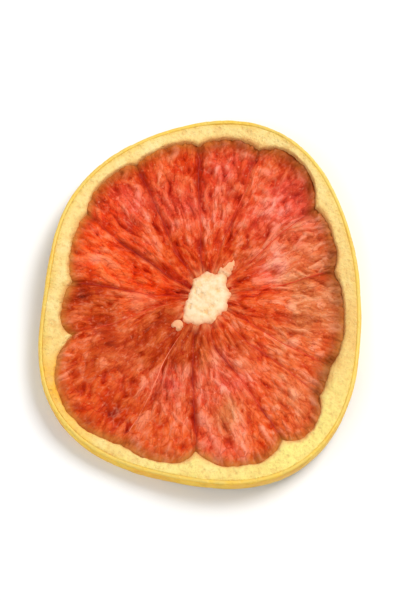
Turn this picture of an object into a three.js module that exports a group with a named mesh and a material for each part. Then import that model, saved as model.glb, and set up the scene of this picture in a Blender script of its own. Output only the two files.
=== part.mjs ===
// A dried slice of red grapefruit, cut straight across the fruit and lying on one cut face.
// Millimetres, +Z up, X across the slice, Y along its longer way. The origin is under the
// middle of the slice, at the level of the surface that it rests on.
//
// The slice is one closed solid. A pole in the pith on each face is joined to the peel by
// rows of points: out over the pith, the flesh and the white of the peel, and round the rind.
// A station says where a row is: 0 to 1 in the pith, 1 to 2 in the flesh, 2 to 3 in the peel.

import * as THREE from 'three';
import { ParametricGeometry } from 'three/addons/geometries/ParametricGeometry.js';
import { ImprovedNoise } from 'three/addons/math/ImprovedNoise.js';
import { mergeVertices } from 'three/addons/utils/BufferGeometryUtils.js';

// Outline of the rind about the pith: a mean radius and waves round it. Each wave has its
// number of crests in a turn, its height, and the angle of one crest in degrees from +X.
const RIND_RADIUS = 38.71;
const RIND_WAVES = [
  { crests: 1, height: 1.53, at: -121 },
  { crests: 2, height: 3.46, at: 87 },
  { crests: 3, height: 1.01, at: -44 },
  { crests: 4, height: 0.85, at: 40 },
  { crests: 5, height: 0.66, at: 3 },
];

// Segments of flesh, in order round the pith. Each starts at a skin: from is that skin's
// angle at the peel, aside how far beside the pith's middle it points, and notch the width
// of the peel where it ends. rim is the width of the peel past the middle of the segment,
// and puff is how far the segment's face is puffed up.
const SEGMENTS = [
  { from: 12, aside: -1, notch: 4.9, rim: 3.7, puff: 0.3 },
  { from: 40, aside: 0.5, notch: 5.4, rim: 2.4, puff: 0.45 },
  { from: 71, aside: 1, notch: 5.1, rim: 4.2, puff: 0.35 },
  { from: 93, aside: 1.6, notch: 5, rim: 3.3, puff: 0.5 },
  { from: 117, aside: 1.9, notch: 4.1, rim: 3, puff: 0.4 },
  { from: 144.5, aside: 2.2, notch: 4.7, rim: 3.9, puff: 0.3 },
  { from: 174, aside: 1.2, notch: 5.2, rim: 4, puff: 0.2 },
  { from: 197, aside: -1.5, notch: 7.2, rim: 2.2, puff: 0.5 },
  { from: 241, aside: -1.5, notch: 3.9, rim: 2.8, puff: 0.4 },
  { from: 266, aside: -4, notch: 6.5, rim: 3.9, puff: 0.45 },
  { from: 296.5, aside: -5.5, notch: 6.9, rim: 4.1, puff: 0.3 },
  { from: 317, aside: -2.5, notch: 6.7, rim: 6.2, puff: 0.2 },
  { from: 329, aside: -1, notch: 5.7, rim: 3.5, puff: 0.5 },
];
const SCALLOP_SQUARENESS = 2.5;

// A skin is straight between these two distances from the pith's middle, and keeps its
// angle inside the first and outside the second.
const SKIN_STRAIGHT_FROM = 11;
const SKIN_STRAIGHT_TO = 31;

// Pith at the middle: a rough disc with two knobs.
const PITH_RADIUS = 5.1;
const PITH_WAVES = [
  { crests: 1, height: 0.5, at: -65 },
  { crests: 2, height: 0.87, at: 72 },
  { crests: 3, height: 0.4, at: -6 },
  { crests: 9, height: 0.2, at: 5 },
];
const PITH_KNOBS = [
  { at: 54, height: 3.9, width: 12 },
  { at: 227, height: 3.4, width: 9 },
];

// Half of the slice's thickness, by station, on the upper and the under face alike.
const THICKNESS = [
  { station: 0, half: 2.5 },
  { station: 0.8, half: 2.4 },
  { station: 1.0, half: 1.6 },
  { station: 1.05, half: 1.15 },
  { station: 1.2, half: 1.6 },
  { station: 1.85, half: 1.65 },
  { station: 1.97, half: 1.2 },
  { station: 2.03, half: 1.3 },
  { station: 2.2, half: 2.25 },
  { station: 2.5, half: 2.6 },
  { station: 2.88, half: 2.5 },
  { station: 3.0, half: 2.1 },
];
const RIND_BULGE = 0.4;
const GROOVE_DEPTH = 0.75;
const GROOVE_HALF_WIDTH = 0.9;
const SAC_HEIGHT = 0.85;
const SAC_WIDTH = 2.1;
const SAC_LENGTH = 4.6;
const SAC_SHIFT = 7.3;
const RELIEF_STARTS = 1.04;
const RELIEF_FULL = 1.12;
const RELIEF_FADES = 1.93;

// Curl from drying: the rim dips in three places and rises between them, and the whole is
// dished a little. Where it lay on the tray, its underside is flat.
const CURL_DIPS = 3;
const CURL_HEIGHT = 1.35;
const CURL_AT = 52;
const CURL_UNEVEN = 0.45;
const RIPPLE_COUNT = 7;
const RIPPLE_HEIGHT = 0.3;
const RIPPLE_AT = 13;
const DISH = 0.7;
const TRAY_FLAT = 0.55;

// Rows of points on each face, by station, and rows on the rind between the two faces.
const FACE_STATIONS = [
  0, 0.5, 0.82, 1.0, 1.06, 1.15, 1.25, 1.35, 1.45, 1.55, 1.65, 1.74, 1.83, 1.91, 1.97,
  2.04, 2.2, 2.5, 2.88, 3.0,
];
const RIND_ROWS = 3;
const COLUMN_WIDTH = 3;
const FEWEST_COLUMNS = 6;
const COLUMN_BUNCHING = 0.1;

const PITH_EDGE = 1;
const FLESH_EDGE = 2;
const RIND_EDGE = 3;
const TURN = 360;
const MERGE_DISTANCE = 1e-5;
const noise = new ImprovedNoise();

const radians = (degrees) => THREE.MathUtils.degToRad(degrees);

// Sum of the waves at an angle in degrees.
function waveSum(waves, angle) {
  let sum = 0;
  for (const { crests, height, at } of waves) {
    sum += height * Math.cos(radians(crests * (angle - at)));
  }
  return sum;
}

// Shortest way round from one angle to another, in degrees.
function turnBetween(from, to) {
  return THREE.MathUtils.euclideanModulo(to - from + TURN / 2, TURN) - TURN / 2;
}

const segmentAfter = (index) => SEGMENTS[(index + 1) % SEGMENTS.length];

// The angle where a segment ends, past the angle where it starts.
function segmentEnd(index) {
  const next = segmentAfter(index).from;
  const { from } = SEGMENTS[index];
  return next > from ? next : next + TURN;
}

// The segment that holds an angle at the peel, the one after it, and how far across it the
// angle is, from 0 to 1.
function segmentAt(angle) {
  const first = SEGMENTS[0].from;
  const turned = first + THREE.MathUtils.euclideanModulo(angle - first, TURN);
  let index = SEGMENTS.length - 1;
  while (index > 0 && SEGMENTS[index].from > turned) {
    index -= 1;
  }
  const segment = SEGMENTS[index];
  const width = segmentEnd(index) - segment.from;
  return { segment, next: segmentAfter(index), across: (turned - segment.from) / width, width };
}

function rindRadius(angle) {
  return RIND_RADIUS + waveSum(RIND_WAVES, angle);
}

// Radius of the flesh's edge: each segment ends in a blunt curve, and the white of the
// peel comes in to a point between two segments.
function fleshRadius(angle) {
  const { segment, next, across } = segmentAt(angle);
  const blunt = 1 - Math.abs(2 * across - 1) ** SCALLOP_SQUARENESS;
  const notch = THREE.MathUtils.lerp(segment.notch, next.notch, across);
  return rindRadius(angle) - THREE.MathUtils.lerp(notch, segment.rim, blunt);
}

// How far a skin that points beside the pith's middle has turned at a distance from it,
// in degrees from its angle at the peel.
function skinTurn(aside, radius) {
  const straight = THREE.MathUtils.clamp(radius, SKIN_STRAIGHT_FROM, SKIN_STRAIGHT_TO);
  const turned = Math.asin(aside / straight) - Math.asin(aside / SKIN_STRAIGHT_TO);
  return THREE.MathUtils.radToDeg(turned);
}

// The same for a line between two skins, named by its angle at the peel.
function lineTurn(line, radius) {
  const { segment, next, across } = segmentAt(line);
  const before = skinTurn(segment.aside, radius);
  return THREE.MathUtils.lerp(before, skinTurn(next.aside, radius), across);
}

function pithRadius(angle) {
  let radius = PITH_RADIUS + waveSum(PITH_WAVES, angle);
  for (const { at, height, width } of PITH_KNOBS) {
    radius += height * Math.exp(-((turnBetween(at, angle) / width) ** 2));
  }
  return radius;
}

// Angle and distance from the pith's middle, for a station on a line from the peel to the
// pith. even is the line's angle if the lines stood evenly round the pith's middle.
function placeOnLine(line, even, station) {
  const inner = line + lineTurn(line, 0);
  if (station <= PITH_EDGE) {
    const angle = even + station * turnBetween(even, inner);
    return { angle, radius: station * pithRadius(angle) };
  }
  const flesh = fleshRadius(line);
  let radius = THREE.MathUtils.lerp(flesh, rindRadius(line) - RIND_BULGE, station - FLESH_EDGE);
  if (station <= FLESH_EDGE) {
    radius = THREE.MathUtils.lerp(pithRadius(inner), flesh, station - PITH_EDGE);
  }
  return { angle: line + lineTurn(line, radius), radius };
}

// Plain half thickness at a station, in straight runs between the listed ones.
function plainHalf(station) {
  let index = 1;
  while (index < THICKNESS.length - 1 && THICKNESS[index].station < station) {
    index += 1;
  }
  const before = THICKNESS[index - 1];
  const after = THICKNESS[index];
  const part = (station - before.station) / (after.station - before.station);
  return THREE.MathUtils.lerp(before.half, after.half, THREE.MathUtils.clamp(part, 0, 1));
}

// How strongly the flesh's own relief shows: full over the flesh, none past its two ends.
function fleshShare(station) {
  const start = THREE.MathUtils.smoothstep(station, RELIEF_STARTS, RELIEF_FULL);
  const end = 1 - THREE.MathUtils.smoothstep(station, RELIEF_FADES, FLESH_EDGE);
  return start * end;
}

// Juice sacs as long low lumps that point at the pith, other ones on each face.
function sacHeight(radius, round, face) {
  return SAC_HEIGHT * noise.noise(radius / SAC_LENGTH, round / SAC_WIDTH, SAC_SHIFT * face);
}

// Relief of one face: puffed segments, a groove along the skin between two of them, and
// the juice sacs. face is -1 for the under face and 1 for the upper one.
function relief(station, line, radius, face) {
  const share = fleshShare(station);
  if (share === 0) {
    return 0;
  }
  const { segment, across, width } = segmentAt(line);
  const arc = radians(width) * radius;
  const toSkin = Math.min(across, 1 - across) * arc;
  const outward = station - PITH_EDGE;
  const puffed = segment.puff * Math.sin(Math.PI * across) * Math.sin(Math.PI * outward);
  const groove = GROOVE_DEPTH * Math.exp(-((toSkin / GROOVE_HALF_WIDTH) ** 2));
  return share * (puffed - groove + sacHeight(radius, across * arc, face));
}

// Height that the curl adds at a distance from the pith's middle. It grows with the square
// of that distance, as a share of the way out to the rind.
function curl(radius, angle) {
  const out = (radius / rindRadius(angle)) ** 2;
  const uneven = CURL_UNEVEN * Math.sin(radians(angle - CURL_AT));
  const dips = CURL_HEIGHT * Math.cos(CURL_DIPS * radians(angle - CURL_AT) + uneven);
  const ripple = RIPPLE_HEIGHT * Math.cos(RIPPLE_COUNT * radians(angle - RIPPLE_AT)) * out;
  return out * (dips + ripple + DISH);
}

// Columns of points, as lines from the peel to the pith. Each segment has lines in keeping
// with its width, and they stand closer together near the skins, where the grooves are.
function columnLines() {
  const lines = [];
  for (let index = 0; index < SEGMENTS.length; index += 1) {
    const { from } = SEGMENTS[index];
    const width = segmentEnd(index) - from;
    const count = Math.max(FEWEST_COLUMNS, Math.round(width / COLUMN_WIDTH));
    for (let column = 0; column < count; column += 1) {
      const even = column / count;
      const across = even - COLUMN_BUNCHING * Math.sin(2 * Math.PI * even);
      lines.push(from + width * across);
    }
  }
  lines.push(SEGMENTS[0].from + TURN);
  return lines;
}

// Rows from the under face's pole, out to the rind, up round it and in to the upper pole.
// side is -1 on the under face and 1 on the upper one.
function rowPlaces() {
  const under = FACE_STATIONS.map((station) => ({ station, side: -1 }));
  const upper = FACE_STATIONS.map((station) => ({ station, side: 1 })).reverse();
  const rind = [];
  for (let row = 1; row <= RIND_ROWS; row += 1) {
    rind.push({ station: RIND_EDGE, side: -1 + (2 * row) / (RIND_ROWS + 1) });
  }
  return [...under, ...rind, ...upper];
}

// Value between two neighbours in a list, at a place given as a fraction of the list.
function between(list, fraction, mix) {
  const place = fraction * (list.length - 1);
  const before = Math.min(Math.floor(place), list.length - 2);
  return mix(list[before], list[before + 1], place - before);
}

const LINES = columnLines();
const ROWS = rowPlaces();

const mixPlaces = (a, b, part) => ({
  station: THREE.MathUtils.lerp(a.station, b.station, part),
  side: THREE.MathUtils.lerp(a.side, b.side, part),
});

// Point of the slice's surface: the first fraction runs round the slice, the second from
// the under pole to the upper one. In the pith the columns spread out evenly, so that none
// meet near the pole.
function surfacePoint(round, over, target) {
  const { station, side } = between(ROWS, over, mixPlaces);
  const line = between(LINES, round, THREE.MathUtils.lerp);
  const { angle, radius } = placeOnLine(line, LINES[0] + TURN * round, station);
  const half = plainHalf(station) + relief(station, line, radius, Math.sign(side));
  const bulged = radius + RIND_BULGE * (1 - side * side);
  target.set(
    bulged * Math.cos(radians(angle)),
    bulged * Math.sin(radians(angle)),
    side * half + curl(bulged, angle),
  );
}

// Drops triangles that have lost a side where a pole's points became one.
function dropCollapsed(geometry) {
  const corners = Array.from(geometry.index.array);
  const kept = [];
  for (let first = 0; first < corners.length; first += 3) {
    const [a, b, c] = corners.slice(first, first + 3);
    if (a !== b && b !== c && c !== a) {
      kept.push(a, b, c);
    }
  }
  geometry.setIndex(kept);
}

// Lies the slice on the tray: what would reach below the tray's level is pressed flat, and
// the middle of the slice's box goes over the origin.
function layDown(geometry) {
  geometry.computeBoundingBox();
  const { min, max } = geometry.boundingBox;
  const tray = min.z + TRAY_FLAT;
  const points = geometry.attributes.position;
  for (let index = 0; index < points.count; index += 1) {
    points.setZ(index, Math.max(points.getZ(index), tray));
  }
  geometry.translate(-(min.x + max.x) / 2, -(min.y + max.y) / 2, -tray);
}

function sliceGeometry() {
  const columns = LINES.length - 1;
  const rows = ROWS.length - 1;
  const sheet = new ParametricGeometry(surfacePoint, columns, rows);
  sheet.deleteAttribute('normal');
  sheet.deleteAttribute('uv');
  const closed = mergeVertices(sheet, MERGE_DISTANCE);
  dropCollapsed(closed);
  layDown(closed);
  closed.computeVertexNormals();
  return closed;
}

function fleshMaterial() {
  return new THREE.MeshStandardMaterial({ color: 0xd85a38, roughness: 0.55, metalness: 0 });
}

const slice = new THREE.Mesh(sliceGeometry(), fleshMaterial());
slice.name = 'slice';

const group = new THREE.Group();
group.add(slice);

export default group;
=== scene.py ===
"""The looks of a dried slice of red grapefruit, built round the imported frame.

Shapes are worked out in millimetres about the middle of the pith, with angles in degrees
from +X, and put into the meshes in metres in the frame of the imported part.
"""

import logging
import math
from collections.abc import Callable
from dataclasses import dataclass
from enum import Enum
from typing import ClassVar

import bpy
import numpy as np
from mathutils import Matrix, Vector


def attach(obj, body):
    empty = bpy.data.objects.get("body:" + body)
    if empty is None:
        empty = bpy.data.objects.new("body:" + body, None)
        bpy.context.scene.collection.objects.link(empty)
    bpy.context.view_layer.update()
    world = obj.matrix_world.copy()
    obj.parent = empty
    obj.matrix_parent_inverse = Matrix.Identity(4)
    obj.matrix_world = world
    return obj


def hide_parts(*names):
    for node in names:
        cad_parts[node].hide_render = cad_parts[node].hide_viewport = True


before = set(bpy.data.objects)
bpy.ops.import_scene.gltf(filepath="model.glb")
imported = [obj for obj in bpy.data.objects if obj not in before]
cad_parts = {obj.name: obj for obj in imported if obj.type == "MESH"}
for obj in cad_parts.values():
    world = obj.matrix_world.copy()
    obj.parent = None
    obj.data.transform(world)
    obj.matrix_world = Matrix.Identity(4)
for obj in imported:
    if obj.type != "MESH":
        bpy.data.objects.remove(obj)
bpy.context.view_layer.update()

LOG = logging.getLogger("grapefruit_slice")
NODE = "slice"
BODY = "root"
MM = 0.001
TURN = 360.0

Array = np.ndarray
Colour = tuple[float, float, float]
# Places from 0 to 1 on a ramp, with the colour of each.
Stops = tuple[tuple[float, Colour], ...]
# Points, faces and named values of one closed shell.
Shell = tuple[Array, Array, dict[str, Array]]
# Goes from a radius and a share of the way across a segment to the angle there.
Wedge = Callable[[Array, Array | float], Array]
# What the inputs of a node get, by name or number.
Inputs = dict[str | int, object]
Socket = bpy.types.NodeSocket
Material = bpy.types.Material
Piece = bpy.types.Object


# ---------------------------------------------------------------- number helpers


def smooth_step(value: Array, low: float, high: float) -> Array:
    """Eases from 0 at low to 1 at high, with flat ends.

    Args:
        value: Numbers to ease.
        low: Where the ease starts.
        high: Where it ends. It may be below low, and then the ease falls.

    Returns:
        3t^2 - 2t^3, where t is the way from low to high, held between 0 and 1.
    """
    part = np.clip((value - low) / (high - low), 0.0, 1.0)
    return part * part * (3.0 - 2.0 * part)


def bell(value: Array, width: Array | float) -> Array:
    """A bell curve, 1 where the value is 0: e to the minus square of value over width."""
    return np.exp(-((value / width) ** 2))


def signed_power(value: Array, power: float) -> Array:
    """A power of each number's size, with its sign kept."""
    return np.sign(value) * np.abs(value) ** power


def shortest_way(angle: Array, start: float) -> Array:
    """Degrees from one angle to others by the shorter way round, from -180 to 180."""
    return (angle - start + TURN / 2) % TURN - TURN / 2


def even_turn(count: int) -> Array:
    """Angles in even steps once round."""
    return np.arange(count) * TURN / count


def stacked(*parts: Array | float) -> Array:
    """Numbers side by side in a new last axis, each stretched to the shape of all."""
    return np.stack(np.broadcast_arrays(*parts), axis=-1)


def cell_number(cells: Array, seed: int) -> Array:
    """Gives every whole-numbered cell its own steady random number.

    Args:
        cells: Whole numbers, with x, y and z of a cell in the last axis.
        seed: Picks another set of numbers.

    Returns:
        Numbers from 0 to 1, the same on every run: the cell's numbers are mixed with
        large odd factors and the low 32 bits are kept.
    """
    key = cells.astype(np.int64)
    mixed = key[..., 0] * 73856093 ^ key[..., 1] * 19349663 ^ key[..., 2] * 83492791
    mixed = (mixed ^ (seed * 40503)) & 0xFFFFFFFF
    mixed = ((mixed ^ (mixed >> 15)) * 2246822519) & 0xFFFFFFFF
    mixed = ((mixed ^ (mixed >> 13)) * 3266489917) & 0xFFFFFFFF
    return (mixed ^ (mixed >> 16)) / 4294967296.0


def soft_noise(points: Array, size: float | tuple[float, float, float], seed: int) -> Array:
    """Smooth random bumps.

    Args:
        points: Places, with x, y and z in the last axis.
        size: Width of a bump, or one width for each axis.
        seed: Picks another set of bumps.

    Returns:
        Numbers from -1 to 1: the eight corners of the cell that holds a point each have
        a random number, and these are blended by eased distances.
    """
    scaled = points / np.asarray(size, float)
    corner = np.floor(scaled)
    part = scaled - corner
    part = part * part * (3.0 - 2.0 * part)
    total = np.zeros(points.shape[:-1])
    for step in np.ndindex(2, 2, 2):
        weight = np.prod(np.where(np.array(step) == 1, part, 1.0 - part), axis=-1)
        total += weight * cell_number(corner + np.array(step), seed)
    return 2.0 * total - 1.0


def layered_noise(points: Array, size: float, seed: int, layers: int) -> Array:
    """Soft noise with finer noise on top.

    Args:
        points: Places, with x, y and z in the last axis.
        size: Width of the largest bumps.
        seed: Picks another set of bumps.
        layers: Number of layers, each half as wide and half as high as the one before.

    Returns:
        Numbers from about -1 to 1.
    """
    total = np.zeros(points.shape[:-1])
    for layer in range(layers):
        total += 0.5**layer * soft_noise(points, size / 2**layer, seed + layer)
    return total / (2.0 - 0.5 ** (layers - 1))


@dataclass(frozen=True)
class Noise:
    """Layered noise for one use: height, width of the largest bumps, seed and layers."""

    height: float
    size: float
    seed: int
    layers: int = 3

    def at(self, points: Array, more: int = 0) -> Array:
        """Numbers from about minus to plus the height. more is added to the seed."""
        return self.height * layered_noise(points, self.size, self.seed + more, self.layers)


@dataclass(frozen=True)
class EdgedRun:
    """Steps across a face from one rounded edge to the other.

    The first steps climb the wall at the start, the last ones go down the wall at the end.
    A wall is a quarter of an ellipse, cut in even turns, and the face between is cut evenly.
    """

    wall_steps: int
    face_steps: int

    def places(self, length: Array | float, start_round: Array | float,
               end_round: Array | float) -> tuple[Array, Array]:
        """Works out the distance and the wall's height at each place.

        Args:
            length: Length of each run.
            start_round: Width of the rounded edge where each run starts.
            end_round: Width of the rounded edge where each run ends.

        Returns:
            The distance from the start as a share of the length, and the share of the
            full height, both with the places of a run in the last axis. On a wall the
            distance is round * (1 - cos a) and the height sin a, as a goes to 90 degrees.
        """
        turn = np.linspace(0.0, math.pi / 2, self.wall_steps + 1)[:-1]
        face = np.linspace(0.0, 1.0, self.face_steps + 1)
        length, start_round, end_round = np.broadcast_arrays(length, start_round, end_round)
        length = length[..., None]
        start = start_round[..., None]
        end = end_round[..., None]
        climb = start * (1.0 - np.cos(turn))
        middle = start + (length - start - end) * face
        drop = length - end * (1.0 - np.cos(turn[::-1]))
        distance = np.concatenate([climb, middle, drop], axis=-1) / length
        rise = np.sin(turn)
        height = np.concatenate([rise, np.ones(self.face_steps + 1), rise[::-1]])
        return distance, np.broadcast_to(height, distance.shape)


# ---------------------------------------------------------------- the slice's form


@dataclass(frozen=True)
class Wave:
    """A wave in a radius round the slice: crests in a turn, height, angle of a crest."""

    crests: int
    height: float
    at: float

    def value(self, angle: Array) -> Array:
        """Height of the wave at each angle: a cosine with its crest at the given angle."""
        return self.height * np.cos(np.radians(self.crests * (angle - self.at)))


@dataclass(frozen=True)
class Knob:
    """A knob on the pith: its angle, its height and its width in degrees."""

    at: float
    height: float
    width: float

    def value(self, angle: Array) -> Array:
        """Height of the knob at each angle: a bell curve over the shortest way round."""
        return self.height * bell(shortest_way(angle, self.at), self.width)


class SkinTone(Enum):
    """Colour of a dried skin where it lies level with the flesh."""

    RED = 0.5
    ROSE = 0.95


@dataclass(frozen=True)
class Segment:
    """One segment of flesh and the skin that starts it.

    start is the skin's angle at the peel, aside how far beside the pith's middle the skin
    points, and notch the width of the peel where it ends. rim is the width of the peel past
    the middle of the segment, puff how far the segment's face stands up, and depth how deep
    its red is, from 0 to 1. opening says how far the crease over the skin has opened, from
    0, shut, to 1, at some distances from the pith's middle.
    """

    start: float
    aside: float
    notch: float
    rim: float
    puff: float
    depth: float
    opening: tuple[tuple[float, float], ...]
    skin: SkinTone = SkinTone.RED


SEGMENTS: tuple[Segment, ...] = (
    Segment(12, -1, 4.9, 3.7, 0.3, 0.3, ((8, 0.4), (12, 0.3), (29, 0.25), (33, 0.5))),
    Segment(40, 0.5, 5.4, 2.4, 0.45, 0.4, ((8, 0.4), (14, 0.3), (24, 0.3), (33, 0.5))),
    Segment(71, 1, 5.1, 4.2, 0.35, 0.5, ((8, 0.4), (17, 0.5), (22, 0.25), (33, 0.4))),
    Segment(93, 1.6, 5, 3.3, 0.5, 0.55,
            ((8, 0.6), (12, 0.8), (16, 0.4), (22, 0.4), (25, 0.85), (35, 0.8))),
    Segment(117, 1.9, 4.1, 3, 0.4, 0.7,
            ((8, 0.5), (13, 0.75), (19, 0.5), (24, 0.8), (30, 0.9), (35, 0.8))),
    Segment(144.5, 2.2, 4.7, 3.9, 0.3, 0.6,
            ((8, 0.6), (13, 0.9), (21, 0.8), (26, 0.45), (33, 0.6))),
    Segment(174, 1.2, 5.2, 4, 0.2, 0.5,
            ((8, 0.35), (15, 0.2), (19, 0.55), (25, 0.9), (33, 0.75))),
    Segment(197, -1.5, 7.2, 2.2, 0.5, 0.6, ((8, 0.2), (24, 0.15), (29, 0.5), (33, 0.9))),
    Segment(241, -1.5, 3.9, 2.8, 0.4, 0.5, ((8, 0.3), (14, 0.1), (35, 0.1)), SkinTone.ROSE),
    Segment(266, -4, 6.5, 3.9, 0.45, 0.4, ((8, 0.6), (13, 0.45), (19, 0.65), (35, 0.75))),
    Segment(296.5, -5.5, 6.9, 4.1, 0.3, 0.35,
            ((9, 0.5), (13, 0.8), (17, 0.75), (20, 0.2), (25, 0.3), (28, 0.65), (33, 0.6))),
    Segment(317, -2.5, 6.7, 6.2, 0.2, 0.35, ((8, 0.3), (16, 0.4), (25, 0.25), (33, 0.5))),
    Segment(329, -1, 5.7, 3.5, 0.5, 0.3, ((8, 0.35), (15, 0.25), (29, 0.3), (33, 0.4))),
)


def segment_sizes(name: str) -> Array:
    """One size of every segment, in order."""
    return np.array([getattr(segment, name) for segment in SEGMENTS], float)


@dataclass(frozen=True)
class Span:
    """A size that changes evenly from a shut crease to an open one."""

    shut: float
    open: float

    def at(self, openness: Array) -> Array:
        """The size where the crease is open by the given share."""
        return self.shut + (self.open - self.shut) * openness


@dataclass(frozen=True)
class SliceForm:
    """Form that all the pieces share: outline, peel, segments' ends, pith and curl."""

    rind_radius: float = 38.71
    rind_waves: tuple[Wave, ...] = (
        Wave(1, 1.53, -121),
        Wave(2, 3.46, 87),
        Wave(3, 1.01, -44),
        Wave(4, 0.85, 40),
        Wave(5, 0.66, 3),
    )
    scallop_squareness: float = 2.5
    straight_from: float = 11.0
    straight_to: float = 31.0
    straight_ease: float = 2.0
    pith_radius: float = 5.1
    pith_waves: tuple[Wave, ...] = (
        Wave(1, 0.5, -65),
        Wave(2, 0.87, 72),
        Wave(3, 0.4, -6),
        Wave(9, 0.2, 5),
    )
    pith_knobs: tuple[Knob, ...] = (Knob(54, 3.9, 12), Knob(227, 3.4, 9))
    peel_half: float = 2.6
    rind_bulge: float = 0.4
    curl_dips: int = 3
    curl_height: float = 1.35
    curl_at: float = 52.0
    curl_uneven: float = 0.45
    ripple: Wave = Wave(7, 0.3, 13)
    dish: float = 0.7
    tray_flat: float = 0.55
    outline_steps: int = 1440

    def rind(self, angle: Array) -> Array:
        """Radius of the rind's outline: its mean and the sum of its waves."""
        return self.rind_radius + sum(wave.value(angle) for wave in self.rind_waves)

    def segment_at(self, angle: Array) -> tuple[Array, Array]:
        """Finds the segment that holds each angle at the peel.

        Args:
            angle: Angles about the pith.

        Returns:
            The segment's number, and how far across it the angle is, from 0 to 1.
        """
        starts = segment_sizes("start")
        ends = np.append(starts[1:], starts[0] + TURN)
        turned = (angle - starts[0]) % TURN + starts[0]
        index = np.searchsorted(starts, turned, side="right") - 1
        return index, (turned - starts[index]) / (ends[index] - starts[index])

    def flesh(self, angle: Array) -> Array:
        """Radius of the flesh's edge.

        Args:
            angle: Angles about the pith.

        Returns:
            The rind's radius less the peel's width. That width runs evenly from the notch
            at one skin to the notch at the next, and goes over to the rim's width by one
            less a power of the distance from the segment's middle.
        """
        index, across = self.segment_at(angle)
        notches = segment_sizes("notch")
        notch = notches[index] + (notches[(index + 1) % len(SEGMENTS)] - notches[index]) * across
        blunt = 1.0 - np.abs(2.0 * across - 1.0) ** self.scallop_squareness
        return self.rind(angle) - notch - (segment_sizes("rim")[index] - notch) * blunt

    def skin_turn(self, number: int, radius: Array) -> Array:
        """How far a skin has turned from its angle at the peel.

        Args:
            number: Which segment the skin starts.
            radius: Distances from the pith's middle.

        Returns:
            Degrees: the angle of a straight line that passes beside the pith's middle,
            eased to no further turn inside the radius where the line starts.
        """
        aside = SEGMENTS[number % len(SEGMENTS)].aside
        past = radius - self.straight_from
        eased = self.straight_from + (past + np.sqrt(past**2 + self.straight_ease**2)) / 2.0
        straight = np.minimum(eased, self.straight_to)
        return np.degrees(np.arcsin(aside / straight) - np.arcsin(aside / self.straight_to))

    def pith(self, angle: Array, knobs: float = 1.0) -> Array:
        """Radius of the pith: its mean, its waves and a share of its two knobs."""
        waves = sum(wave.value(angle) for wave in self.pith_waves)
        knobs_there = knobs * sum(knob.value(angle) for knob in self.pith_knobs)
        return self.pith_radius + waves + knobs_there

    def curl(self, radius: Array, angle: Array) -> Array:
        """Height that the curl adds.

        Args:
            radius: Distances from the pith's middle.
            angle: Angles about it.

        Returns:
            The square of the share of the way out, times a wave with three dips, a
            weaker ripple and a shallow dish.
        """
        out = (radius / self.rind(angle)) ** 2
        turned = np.radians(angle - self.curl_at)
        lean = self.curl_uneven * np.sin(turned)
        dips = self.curl_height * np.cos(self.curl_dips * turned + lean)
        return out * (dips + self.ripple.value(angle) * out + self.dish)

    def middle(self) -> tuple[float, float]:
        """Middle of the outline's box, from the pith's middle, in x and y."""
        angle = even_turn(self.outline_steps)
        radius = self.rind(angle)
        across = radius * np.cos(np.radians(angle))
        along = radius * np.sin(np.radians(angle))
        return (across.min() + across.max()) / 2, (along.min() + along.max()) / 2

    def tray(self) -> float:
        """Level of the surface under the slice, from the mid plane at the pith.

        The lowest place is on the peel's crest, half way across the peel. The slice is
        pressed flat a little above it.
        """
        angle = even_turn(self.outline_steps)
        crest = (self.flesh(angle) + self.rind(angle) - self.rind_bulge) / 2
        return float((self.curl(crest, angle) - self.peel_half).min()) + self.tray_flat

    def place(self, radius: Array, angle: Array, height: Array) -> Array:
        """Puts points of the flat slice into the frame.

        Args:
            radius: Distances from the pith's middle.
            angle: Angles about it.
            height: Heights above the slice's mid plane.

        Returns:
            Points in metres: the curl is added, what reaches below the tray is pressed
            flat, and the outline's box is centred on the origin.
        """
        middle_x, middle_y = self.middle()
        turned = np.radians(angle)
        level = np.maximum(height + self.curl(radius, angle) - self.tray(), 0.0)
        across = radius * np.cos(turned) - middle_x
        along = radius * np.sin(turned) - middle_y
        return stacked(across, along, level) * MM


def flat_points(radius: Array | float, angle: Array | float,
                height: Array | float = 0.0) -> Array:
    """Points of the flat slice in millimetres about the pith, for noise to read.

    Args:
        radius: Distances from the pith's middle.
        angle: Angles about it.
        height: Heights above the mid plane.

    Returns:
        x, y and z in the last axis.
    """
    turned = np.radians(angle)
    return stacked(radius * np.cos(turned), radius * np.sin(turned), height)


# ---------------------------------------------------------------- meshes


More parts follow.
